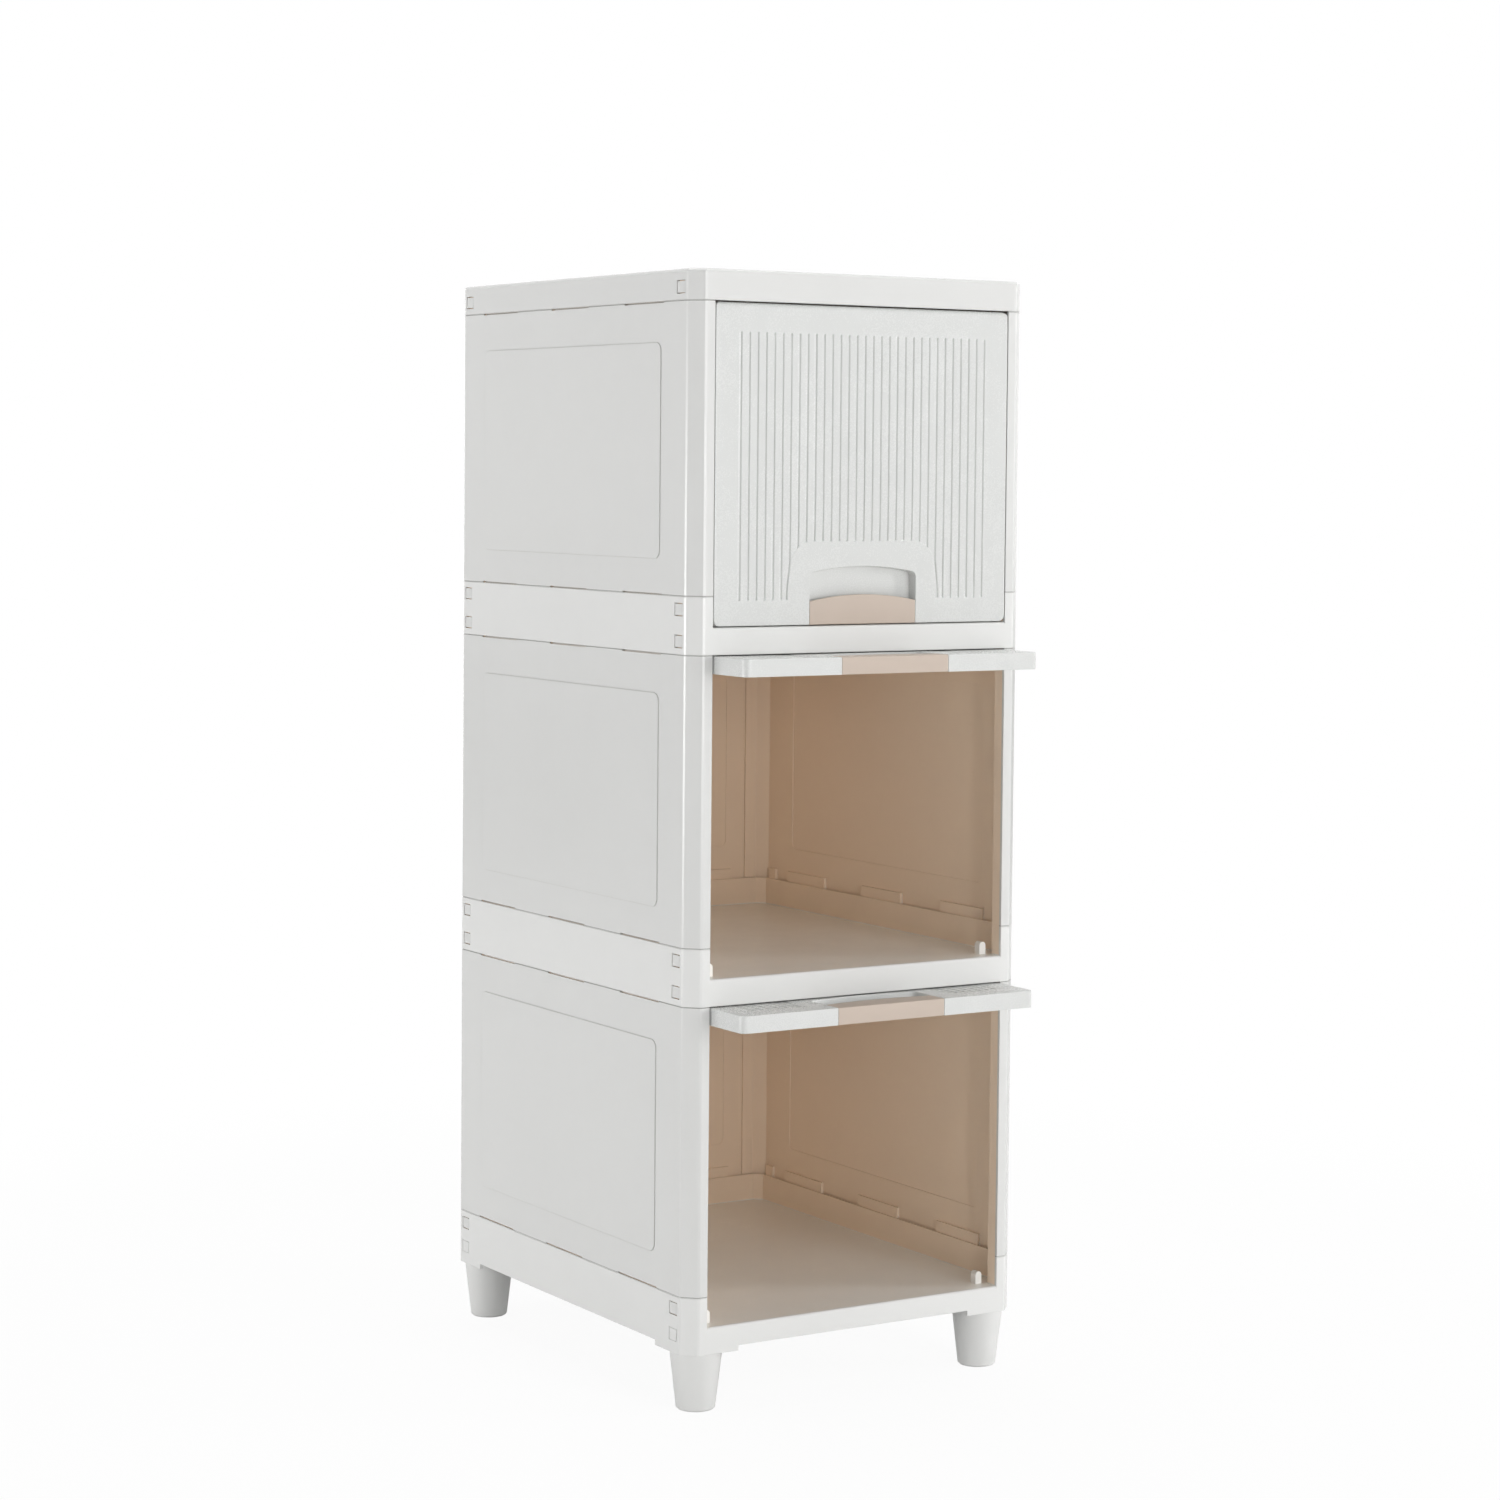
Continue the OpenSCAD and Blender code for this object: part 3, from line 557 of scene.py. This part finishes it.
def bow_rise(x, half, bow):
    """Rise of a circle's arc over its ends: the arc is 2 half wide and bow high in the middle."""
    r = (half**2 + bow**2) / (2 * bow)
    return np.sqrt(r**2 - np.minimum(np.abs(x), half) ** 2) - (r - bow)


class DoorShape:
    """The two faces of a door as grids of the same lines, in millimetres. A point's depth is a
    function of its place (u, v) on an even door, and then (u, v) is warped so that the lines follow
    the door's round corners, the arch and the bowed pocket."""

    def __init__(self, s):
        self.half, self.height, self.thick = DOOR.x / MM / 2, DOOR.z / MM, DOOR.y / MM
        self.skin, self.rib = s.skin / MM, s.rib / MM
        self.edge, self.top_r, self.corner = (
            s.edge_radius / MM, s.top_radius / MM, s.corner_radius / MM
        )
        self.pitch, self.depth, self.bulge = s.reed_pitch / MM, s.reed_depth / MM, s.reed_bulge / MM
        self.low, self.high = s.reed_low / MM, self.height - s.reed_high / MM
        self.arch_top, self.arch_r = s.arch_height / MM, s.arch_radius / MM
        self.pocket, self.pocket_top = s.pocket_width / MM / 2, s.pocket_height / MM
        self.pocket_in, self.bow = s.pocket_depth / MM, s.bow / MM
        self.centres = (np.arange(s.reeds) - (s.reeds - 1) / 2) * self.pitch
        nearest = np.argmin(np.abs(self.centres - (self.arch_top + ARCH_OFFSET)))
        self.arch_side = self.centres[nearest] - ARCH_BESIDE
        self.cells_across, self.cells_up = s.cells_across, s.cells_up
        self.cell_w = (2 * self.half - self.rib) / s.cells_across
        self.cell_h = (self.height - self.rib) / s.cells_up
        u, v = self.lines()
        self.U, self.V = np.meshgrid(u, v)
        self.A = np.abs(self.U)

    def lines(self):
        """The grid's lines across and up: at every edge, rib, step and groove, and evenly in the
        plain stretches between them."""
        rim = self.edge * (1 - np.cos(np.radians(np.linspace(0, 90, 5))))
        rim_top = self.top_r * (1 - np.cos(np.radians(np.linspace(0, 90, 10))))
        ribs_u = -self.half + self.cell_w * np.arange(1, self.cells_across)
        ribs_v = self.cell_h * np.arange(1, self.cells_up)
        both_faces = np.array([0, self.rib])
        plain = [
            np.linspace(27, 45, 6), np.linspace(52, self.arch_top - 3, 9),
            np.linspace(self.arch_top + 5, 115, 9), np.linspace(122, self.high - 4, 14),
        ]
        u = grid_lines(
            both(self.half - rim), both(CORNER_LINES), both(BORDER_LINES), both(ARCH_SIDE_LINES),
            both([self.arch_side]), self.centres[:, None] + GROOVE_LINES,
            both(self.pocket + POCKET_SIDE_LINES), both(step_lines(self.half - PIN_BOSS_W)),
            step_lines(ribs_u[:, None] + both_faces), both(step_lines(self.half - self.rib)),
        )
        v = grid_lines(
            rim, SEAT_LINES, *plain, self.low + FIELD_EDGE_LINES,
            self.pocket_top + POCKET_TOP_LINES, self.arch_top + ARCH_TOP_LINES,
            self.high - FIELD_EDGE_LINES, [self.high + 4], step_lines(self.height - PIN_BOSS_H),
            step_lines(ribs_v[:, None] + both_faces), step_lines(self.rib),
            step_lines(self.height - self.rib), self.height - rim_top,
        )
        return u, v

    def reach(self):
        """Half the door's width at each height, less where its corners are round."""
        near_end = np.minimum(self.V, self.height - self.V)
        inside = np.clip(self.corner - near_end, 0, self.corner)
        return self.half - self.corner + np.sqrt(np.maximum(self.corner**2 - inside**2, 0))

    def near(self, edge, hold, spread):
        """1 between the hold's two heights from an edge, and from there evenly to 0 at the
        spread's two heights."""
        below = fade(self.V, spread[0], edge + hold[0])
        return below * fade(self.V, spread[1], edge + hold[1])

    def warped(self):
        """Each point's place across and up. Lines near the pocket's upper edge rise along its bow
        and fall at its round corners, those near the arch's top fall along its round shoulders,
        those at the arch's sides lean out at their foot, and the outermost draw in to the door's
        round corners. A round corner's fall is r less the root of r^2 - inset^2, and each shift is
        multiplied by a share that fades to 0 away from its edge."""
        A, V = self.A, self.V
        pocket_share, arch_share = NEAR_UPRIGHT
        turn_in = np.clip(A - (self.pocket - POCKET_CORNER), 0, POCKET_CORNER * pocket_share)
        corner_drop = POCKET_CORNER - np.sqrt(POCKET_CORNER**2 - turn_in**2)
        corner_share = fade(A, POCKET_TURN[1], POCKET_TURN[0])
        rise = bow_rise(self.U, self.pocket, self.bow) - corner_drop * corner_share
        rise_share = self.near(self.pocket_top, POCKET_HOLD, POCKET_SPREAD)
        shoulder_start = self.arch_side + ARCH_SHOULDER - self.arch_r
        shoulder = np.clip(A - shoulder_start, 0, self.arch_r * arch_share)
        drop = self.arch_r - np.sqrt(self.arch_r**2 - shoulder**2)
        drop_share = self.near(self.arch_top, ARCH_HOLD, ARCH_SPREAD)
        Z = V + rise * rise_share - drop * drop_share
        Z = np.where(A < self.pocket, np.maximum(Z, GRIP_SEAT + V * SEAT_SLOPE), Z)
        lean_from, lean_full, lean_fade, lean_end = LEAN_BAND
        lean = ARCH_LEAN * ease((LEAN_TOP - Z) / LEAN_HEIGHT)
        lean = lean * fade(A, lean_from, lean_full) * fade(A, lean_end, lean_fade)
        squeeze = (self.reach() - CORNER_FROM) / (self.half - CORNER_FROM)
        X = np.where(A > CORNER_FROM, CORNER_FROM + (A - CORNER_FROM) * squeeze, A + lean)
        return np.sign(self.U) * X, Z

    def face(self, X):
        """Depth of the front face: the greatest of the roundings at the edges, plus a slight drop
        round the arch's pad, plus the groove's section and the bulge times the square of the
        nearness to a groove, both times an ease at the groove's ends. Inside the pocket it is the
        pocket's depth, or the seat's below it."""
        A, V = self.A, self.V
        side_gap = self.reach() - np.abs(X)
        face = np.maximum.reduce([
            rounding(side_gap, self.edge), rounding(V, self.edge),
            rounding(self.height - V, self.top_r),
        ])
        off_pad = np.maximum(A - self.arch_side, V - self.arch_top)
        recess = PAD_DROP * ease(off_pad / PAD_EDGE) * (1 - ease((off_pad - PAD_KEEP) / PAD_FADE))
        face = face + recess * ease((V - self.low + FIELD_EASE) / (2 * FIELD_EASE))
        off = self.U[..., None] - self.centres
        closest = np.argmin(np.abs(off), axis=-1)[..., None]
        off = np.take_along_axis(off, closest, axis=-1)[..., 0]
        section = np.interp(np.abs(off), GROOVE_PLACES, GROOVE_SHARES)
        over_arch = np.abs(self.U - off) < self.arch_side
        groove_low = np.where(over_arch, self.arch_top + GROOVE_OVER_ARCH, self.low)
        within = ease((V - groove_low) / GROOVE_END) * ease((self.high - V) / GROOVE_END)
        slope = np.clip(1 - np.abs(off) / (self.pitch / 2), 0, 1)
        face = face + (self.depth * section + self.bulge * slope**2) * within
        # the 0.1 and 0.2 fall between two grid lines, and so pick the lines up to there
        in_pocket = (A < self.pocket) & (V < self.pocket_top - 0.1)
        face = np.where(in_pocket, np.where(V < SEAT_TOP, GRIP_SEAT, self.pocket_in), face)
        lip = (A < self.pocket + 0.2) & (V < self.pocket_top + 0.1) & ~in_pocket
        return np.where(lip, np.maximum(face, POCKET_LIP), face)

    def back(self):
        """Depth of the back: the skin's in the cells between the ribs, the cup's behind the pocket
        and over the hook's seat, and the door's whole thickness on ribs and pin bosses."""
        across = np.mod(self.U + self.half, self.cell_w) > self.rib
        across &= self.U + self.half < self.cell_w * self.cells_across
        up = (np.mod(self.V, self.cell_h) > self.rib) & (self.V < self.cell_h * self.cells_up)
        boss = (self.A > self.half - PIN_BOSS_W) & (self.V > self.height - PIN_BOSS_H)
        in_cup = (self.A < self.pocket + self.rib) & (self.V < self.pocket_top + self.rib)
        back = np.where(across & up & ~boss, np.where(in_cup, CUP_BACK, self.skin), self.thick)
        return np.where((self.A < self.pocket) & (self.V < HOOK_SEAT), CUP_BACK, back)


def closed_plate(X, Z, face, back):
    """Points and faces of a closed plate from its front grid and back grid: each grid gives its
    quads, and a strip of quads joins their edges all round."""
    rows, columns = X.shape
    number = np.arange(rows * columns).reshape(rows, columns)
    f, b = number, number + rows * columns
    points = np.concatenate([
        np.stack([X, face, Z], axis=-1).reshape(-1, 3),
        np.stack([X, back, Z], axis=-1).reshape(-1, 3),
    ])
    faces = np.concatenate([
        quads(f[:-1, :-1], f[:-1, 1:], f[1:, 1:], f[1:, :-1]),
        quads(b[:-1, :-1], b[1:, :-1], b[1:, 1:], b[:-1, 1:]),
        quads(f[0, 1:], f[0, :-1], b[0, :-1], b[0, 1:]),
        quads(f[-1, :-1], f[-1, 1:], b[-1, 1:], b[-1, :-1]),
        quads(f[:-1, 0], f[1:, 0], b[1:, 0], b[:-1, 0]),
        quads(f[1:, -1], f[:-1, -1], b[:-1, -1], b[1:, -1]),
    ])
    return points, faces.tolist()


def arc(y, z, r, start, stop):
    """Points on a circle of radius r about (y, z), from one angle to another in degrees."""
    a = np.radians(np.linspace(start, stop, ARC_POINTS))
    return np.stack([y + r * np.cos(a), z + r * np.sin(a)], axis=1)


def grip_points(s, bow, half_pocket):
    """A grip as a section carried across the door. The section goes round in y and z: up the front
    plate, over its edge, down behind it, along the lower plate, up and round the hook, and back
    under. The front plate's edge rises along the pocket's bow, and both ends draw in to a small
    rounding."""
    t, r = s.thickness / MM, s.edge_radius / MM
    thick = DOOR.y / MM
    hook, hook_t, end_h = s.hook_height / MM, s.hook_thickness / MM, s.end_height / MM
    half = GRIP.x / MM / 2
    section = np.concatenate([
        arc(r, end_h - r, r, 180, 90), arc(t - r, end_h - r, r, 90, 0),
        arc(t + THROAT_R, t + THROAT_R, THROAT_R, 180, 270),
        arc(thick - hook_t - THROAT_R, t + THROAT_R, THROAT_R, 270, 360),
        arc(thick - hook_t + HOOK_R, hook - HOOK_R, HOOK_R, 180, 90),
        arc(thick - HOOK_R, hook - HOOK_R, HOOK_R, 90, 0),
        arc(thick - HEEL_R, HEEL_R, HEEL_R, 0, -90),
        arc(TOE_R, TOE_R, TOE_R, 270, 180),
    ])
    lifted = np.zeros(len(section))
    lifted[:2 * ARC_POINTS] = 1.0  # the two arcs over the front plate's edge
    a = np.radians(np.linspace(0, 90, 4))
    ends = half - r * END_DRAW * (1 - np.cos(a))
    inset = r * END_DRAW * (1 - np.sin(a))
    length_lines = np.linspace(-half + END_MARGIN, half - END_MARGIN, GRIP_LINES)
    across = np.concatenate([-ends, length_lines, ends[::-1]])
    draw_in = np.concatenate([inset, np.zeros(len(length_lines)), inset[::-1]])
    middle = section - section.mean(axis=0)
    shrink = np.sign(middle) * np.minimum(np.abs(middle), 1.0)
    plate = section - END_SHRINK * draw_in[:, None, None] * shrink
    y = plate[..., 0]
    z = plate[..., 1] + lifted * bow_rise(across, half_pocket, bow)[:, None]
    x = np.broadcast_to(across[:, None], y.shape)
    return swept(np.stack([x, y, z], axis=-1))


def swept(rings):
    """Points and faces of a closed body from a row of closed sections: quads between sections and
    one flat face on each end."""
    count, size, _ = rings.shape
    n = np.arange(count * size).reshape(count, size)
    after = np.roll(n, -1, axis=1)
    faces = quads(n[:-1], after[:-1], after[1:], n[1:]).tolist()
    faces += [n[0][::-1].tolist(), n[-1].tolist()]
    return rings.reshape(-1, 3), faces


# ---------- finishes that depend on the place ----------

def within_skin(aside, behind, depth):
    """1 further in than a depth from the outer skin, on all four sides and at the cut corners."""
    inside = (aside < PLAN_HALF_W - depth) * (behind < PLAN_HALF_D - depth)
    cut = PLAN_HALF_W + PLAN_HALF_D - CORNER_CUT - depth * math.sqrt(2)
    return inside * (aside + behind < cut)


# the mask of the tan painted shade inside the compartments
def cabinet_inside(g, place):
    """1 on the faces that look into a compartment: in from the outer skin and turned inwards or
    up or down, or deeper than the walls."""
    x, y, z = g.axes(place)
    aside, behind = abs(x), abs(y - PLAN_MIDDLE)
    walls = (z > SHELF_TOP["base_frame"] - 0.001) * within_skin(aside, behind, SKIN_HALF)
    walls = walls * (y > PLAN_MIDDLE - PLAN_HALF_D + 2 * SKIN_HALF)
    across, along, up = g.facing()
    inward = [across * x < -INWARD, along * (y - PLAN_MIDDLE) < -INWARD, abs(up) > LEVEL]
    return walls * either([*inward, within_skin(aside, behind, DEEP)])


# the mask of the tan painted shade under the cover
def cover_inside(g, place):
    """1 under the cover's plate."""
    _, _, z = g.axes(place)
    return cabinet_inside(g, place) * (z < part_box("top_cover")[1].z - COVER_SKIN)


def half_turns(g, value, edge):
    """0 to 1 about an edge in two eases, with a rest half way between them."""
    early, late = (
        g.step(value, start, start + TURN) for start in (edge - TURN_HALF, edge + TURN_HALF - TURN)
    )
    return (early + late) * 0.5


def cut_corners(g, place, edges):
    """A mask of the outer skin near the cut corners, and the normal of its softened edges made
    round. Along the plan, p = |y| - |x| rises from the side over the cut to the front or back. The
    normal goes from the side's to the cut's about the cut's first edge and on to the front's about
    its second edge, each time with a rest half way."""
    x, y, _ = g.axes(place)
    y = y - PLAN_MIDDLE
    aside, behind = abs(x), abs(y)
    along_plan = behind - aside - (PLAN_HALF_D - PLAN_HALF_W)
    first, second = (half_turns(g, along_plan, edge) for edge in (-CORNER_CUT, CORNER_CUT))
    diagonal = first * (1 - second) * math.sqrt(0.5)
    rounded = g.node(
        "ShaderNodeCombineXYZ",
        sockets={
            0: x.sign() * (1 - first + diagonal),
            1: y.sign() * (diagonal + second),
            2: g.axes(edges)[2],
        },
    )
    across, along, up = g.facing()
    outward = (across * x > -OUTWARD) * (along * y > -OUTWARD) * (abs(up) < LEVEL)
    near = outward * (aside + behind > PLAN_HALF_W + PLAN_HALF_D - 1.5 * CORNER_CUT)
    turned = g.node(
        "ShaderNodeVectorTransform",
        {"vector_type": "NORMAL", "convert_from": "OBJECT", "convert_to": "WORLD"},
        {0: rounded},
    )
    return near, turned


def seam_shadow_lines(g, place):
    """1 on the narrow line where panels meet frames and cover, where a shadow is painted."""
    height = g.axes(place)[2]
    return either([abs(height - level) < SEAM_HALF for level in SEAMS])


def raised_outline(node, axis, plane):
    """A mask that is 1 on the crease round a panel's raised field, where shade is painted: the
    distance to a rectangle with round corners is |max(|offset| - half size + r, 0)| - r."""
    low, high = skin_extent(node, axis, plane)
    middle, half = (low + high) / 2, (high - low) / 2 - FIELD_R

    def crease(g, place):
        """1 on the crease, on the panel's outer face: the mask of the painted shade."""
        parts = g.axes(place)
        over = [
            (abs(parts[i] - float(middle[i])) - float(half[i])).at_least(0.0)
            for i in range(3) if i != axis
        ]
        reach = (over[0] * over[0] + over[1] * over[1]).root()
        return (abs(reach - FIELD_R) < CREASE_HALF) * (abs(parts[axis]) > abs(plane) - SKIN_HALF)

    return crease


def lit_shelf_plate(g, place):
    """1 on a shelf's upper face and on the door stops that stand on it, where a brighter white is
    painted as light.
    """
    x, y, z = g.axes(place)
    by_the_door = (abs(x) < STOP_HALF_W) * (y < PLAN_MIDDLE - PLAN_HALF_D + STOP_REACH)
    parts = []
    for level in SHELF_TOP.values():
        over = z > level - PLATE_BELOW
        parts += [over * (z < level + PLATE_ABOVE), by_the_door * over * (z < level + STOP_TOP)]
    return cabinet_inside(g, place) * either(parts)


# ---------- the stage ----------

def soft_light(name, place, target, width, height, power):
    """A rectangular lamp at a place, facing a target."""
    lamp = bpy.data.lights.new(name, "AREA")
    lamp.shape = "RECTANGLE"
    lamp.size, lamp.size_y, lamp.energy = width, height, power
    holder = bpy.data.objects.new(name, lamp)
    holder.location = place
    holder.rotation_mode = "QUATERNION"
    holder.rotation_quaternion = (Vector(target) - Vector(place)).to_track_quat("-Z", "Y")
    bpy.context.scene.collection.objects.link(holder)


def add_camera(scene):
    """Looks at the cabinet from its front left, a little above the middle."""
    data = bpy.data.cameras.new("camera")
    data.lens, data.sensor_width, data.shift_y = CAMERA_LENS, CAMERA_SENSOR, CAMERA_SHIFT
    data.clip_start, data.clip_end = 0.05, 60
    holder = bpy.data.objects.new("camera", data)
    yaw, pitch, roll = (math.radians(a) for a in (CAMERA_YAW, CAMERA_PITCH, CAMERA_ROLL))
    ahead = Vector((
        math.sin(yaw) * math.cos(pitch), math.cos(yaw) * math.cos(pitch), -math.sin(pitch)
    ))
    level = Vector((math.cos(yaw), -math.sin(yaw), 0))
    upward = level.cross(ahead)
    right = level * math.cos(roll) + upward * math.sin(roll)
    up = upward * math.cos(roll) - level * math.sin(roll)
    turn = Matrix((right, up, -ahead)).transposed()
    holder.matrix_world = Matrix.Translation(CAMERA_PLACE) @ turn.to_4x4()
    scene.collection.objects.link(holder)
    scene.camera = holder


def add_surroundings(scene):
    """An even pale light all round, which looks white to the camera and in reflections."""
    g = Graph(bpy.data.worlds.new("white_room"))
    ray = g.node("ShaderNodeLightPath", output="Is Camera Ray")
    seen = either([ray, ray.sibling("Is Glossy Ray"), ray.sibling("Is Transmission Ray")])
    shown = g.node("ShaderNodeBackground", sockets={"Color": (1, 1, 1), "Strength": 1.0})
    light = g.node(
        "ShaderNodeBackground", sockets={"Color": (0.99, 0.995, 1.0), "Strength": ROOM_LIGHT}
    )
    mixed = g.node("ShaderNodeMixShader", sockets={0: seen, 1: light, 2: shown})
    scene.world = g.finish(mixed, "ShaderNodeOutputWorld")


def add_floor(scene):
    """A wide pale floor that keeps the cabinet's shadow near it and turns white further out."""
    x, y = np.meshgrid([-FLOOR_REACH, FLOOR_REACH], [-FLOOR_REACH, FLOOR_REACH])
    points = np.stack([x.ravel(), y.ravel(), np.zeros(4)], axis=1)
    mesh = bpy.data.meshes.new("floor")
    mesh.from_pydata(points, [], [[0, 1, 3, 2]])
    piece = bpy.data.objects.new("floor", mesh)
    scene.collection.objects.link(piece)
    g = Graph(bpy.data.materials.new("pale_floor"))
    place = g.place()
    distance = g.node("ShaderNodeVectorMath", {"operation": "LENGTH"}, {0: place}, output="Value")
    far = g.step(distance, SHADOW_NEAR, SHADOW_FAR)
    grain = g.noise(place, 60.0, 3.0)
    matt = g.node(
        "ShaderNodeBsdfPrincipled",
        sockets={
            "Base Color": g.tone(
                g.colour(tuple(scene.cabinet_finishes.floor)), 1 + grain.swing(0.006)
            ),
            "Roughness": 0.9 + grain.swing(0.05),
            "Specular IOR Level": 0.0,
        },
    )
    white = g.node("ShaderNodeEmission", sockets={"Color": (1, 1, 1), "Strength": 1.0})
    ray = g.node("ShaderNodeLightPath", output="Is Camera Ray")
    share = (FLOOR_WHITE + far * (1 - FLOOR_WHITE)) * ray
    mixed = g.node("ShaderNodeMixShader", sockets={0: share, 1: matt, 2: white})
    piece.data.materials.append(g.finish(mixed))


# ---------- operators ----------

class CabinetOperator(Operator):
    """Shared form of the cabinet's operators."""

    bl_options = {"REGISTER", "UNDO"}


class CABINET_OT_shell(CabinetOperator):
    """Gives the cover, panels and shelf frames their satin white skin, with tan painted shade on
    the inner faces and painted shadow and shade in the seams and creases
    """

    bl_idname = "cabinet.shell"
    bl_label = "Shell finish"

    def execute(self, context):
        f = context.scene.cabinet_finishes
        # painted shadow along the seams between mouldings
        seam = (seam_shadow_lines, tuple(f.seam), 0.2)
        # tan painted on the inner faces, standing in for the warm shade inside
        inside_shade_zone = (cabinet_inside, tuple(f.inside_shade), 0.10)
        # upward faces inside kept free of the tan and painted a brighter white, as light that falls
        # on them, and given a little more gloss
        plates = (lit_shelf_plate, tuple(f.shelf), -0.08)
        # tan painted shade under the cover as well
        under_cover_shade = (cover_inside, tuple(f.inside_shade), 0.10)
        frames = moulded("satin_white_frame", tuple(f.band), roughness=0.23, soft_edge=0.0005,
                         zones=[seam, inside_shade_zone, plates], corners=cut_corners)
        for side, axis in (("left", 0), ("right", 0), ("back", 1)):
            for tier in TIERS:
                node = f"{side}_panel_{tier}"
                low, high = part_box(node)
                plane = {"left": low.x, "right": high.x, "back": high.y}[side]
                # painted shade in the crease round the raised field
                crease = (raised_outline(node, axis, plane), tuple(f.crease), 0.1)
                dress(node, moulded(f"satin_white_{node}", tuple(f.shell), soft_edge=0.0004,
                                    zones=[seam, crease, inside_shade_zone], corners=cut_corners))
        dress("top_cover", moulded("satin_white_cover", tuple(f.shell),
                                   zones=[seam, under_cover_shade], corners=cut_corners))
        for node in SHELF_TOP:
            dress(node, frames)
        return {"FINISHED"}


class CABINET_OT_doors(CabinetOperator):
    """Builds the three reeded doors with their arches and finger pockets"""

    bl_idname = "cabinet.doors"
    bl_label = "Reeded doors"

    def execute(self, context):
        shape = DoorShape(context.scene.cabinet_doors)
        X, Z = shape.warped()
        points, faces = closed_plate(X, Z, shape.face(X), shape.back())
        material = moulded("reeded_door_white", tuple(context.scene.cabinet_finishes.door),
                           roughness=0.27, peel=0.00002, soft_edge=0.0004, drift=0.02)
        for tier in TIERS:
            piece = make_piece(f"reeded_door_{tier}", door_place(points, tier), faces)
            piece.data.materials.append(material)
            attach(piece, f"door_{tier}")
            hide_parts(f"door_{tier}")
        return {"FINISHED"}


class CABINET_OT_grips(CabinetOperator):
    """Builds the bowed grips that clip round each door's lower edge"""

    bl_idname = "cabinet.grips"
    bl_label = "Grips"

    def execute(self, context):
        doors = context.scene.cabinet_doors
        points, faces = grip_points(
            context.scene.cabinet_grips, doors.bow / MM, doors.pocket_width / MM / 2
        )
        material = moulded("taupe_grip", tuple(context.scene.cabinet_finishes.grip), roughness=0.48,
                           peel=0.00004, peel_scale=700, soft_edge=0.0003, specular=0.4)
        for tier in TIERS:
            piece = make_piece(f"bowed_grip_{tier}", door_place(points, tier), faces)
            piece.data.materials.append(material)
            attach(piece, f"door_{tier}")
            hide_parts(f"door_grip_{tier}")
        return {"FINISHED"}


class CABINET_OT_hardware(CabinetOperator):
    """Finishes the pivot pins, guide shoes and feet"""

    bl_idname = "cabinet.hardware"
    bl_label = "Pins, shoes and feet"

    def execute(self, context):
        f = context.scene.cabinet_finishes
        pin = steel("drawn_steel", tuple(f.pin))
        shoe = moulded("guide_shoe_resin", tuple(f.shoe), roughness=0.30, soft_edge=0.0003)
        foot = moulded("satin_white_foot", tuple(f.foot), roughness=0.38, soft_edge=0.0008)
        for tier in TIERS:
            dress(f"hinge_pins_{tier}", pin)
            dress(f"guide_shoes_{tier}", shoe)
        for corner in ("front_left", "front_right", "back_left", "back_right"):
            dress(f"foot_{corner}", foot)
        return {"FINISHED"}


class CABINET_OT_stage(CabinetOperator):
    """Sets the camera, the soft lamps, the white surroundings and the floor"""

    bl_idname = "cabinet.stage"
    bl_label = "Stage"

    def execute(self, context):
        scene = context.scene
        scene.view_settings.view_transform = "Standard"
        add_camera(scene)
        add_surroundings(scene)
        add_floor(scene)
        for lamp in LAMPS:
            soft_light(*lamp)
        return {"FINISHED"}


class CABINET_PT_sidebar(Panel):
    """Lists the cabinet's sizes, colours and operators"""

    bl_idname = "CABINET_PT_sidebar"
    bl_label = "Storage cabinet"
    bl_space_type = "VIEW_3D"
    bl_region_type = "UI"
    bl_category = "Cabinet"

    def draw(self, context):
        scene = context.scene
        for title, group in (
            ("Doors", scene.cabinet_doors),
            ("Grips", scene.cabinet_grips),
            ("Finishes", scene.cabinet_finishes),
        ):
            box = self.layout.box()
            box.label(text=title)
            for key in group.bl_rna.properties.keys():
                if key not in ("rna_type", "name"):
                    box.prop(group, key)
        for operator in OPERATORS:
            self.layout.operator(operator.bl_idname)


OPERATORS = (
    CABINET_OT_stage, CABINET_OT_shell, CABINET_OT_doors, CABINET_OT_grips, CABINET_OT_hardware
)
GROUPS = (CabinetDoorSizes, CabinetGripSizes, CabinetFinishes)


def register():
    for cls in (*GROUPS, *OPERATORS, CABINET_PT_sidebar):
        bpy.utils.register_class(cls)
    bpy.types.Scene.cabinet_doors = PointerProperty(type=CabinetDoorSizes)
    bpy.types.Scene.cabinet_grips = PointerProperty(type=CabinetGripSizes)
    bpy.types.Scene.cabinet_finishes = PointerProperty(type=CabinetFinishes)


def unregister():
    for name in ("cabinet_doors", "cabinet_grips", "cabinet_finishes"):
        delattr(bpy.types.Scene, name)
    for cls in (CABINET_PT_sidebar, *reversed(OPERATORS), *reversed(GROUPS)):
        bpy.utils.unregister_class(cls)


def main():
    register()
    bpy.ops.cabinet.stage()
    bpy.ops.cabinet.shell()
    bpy.ops.cabinet.doors()
    bpy.ops.cabinet.grips()
    bpy.ops.cabinet.hardware()


if __name__ == "__main__":
    main()
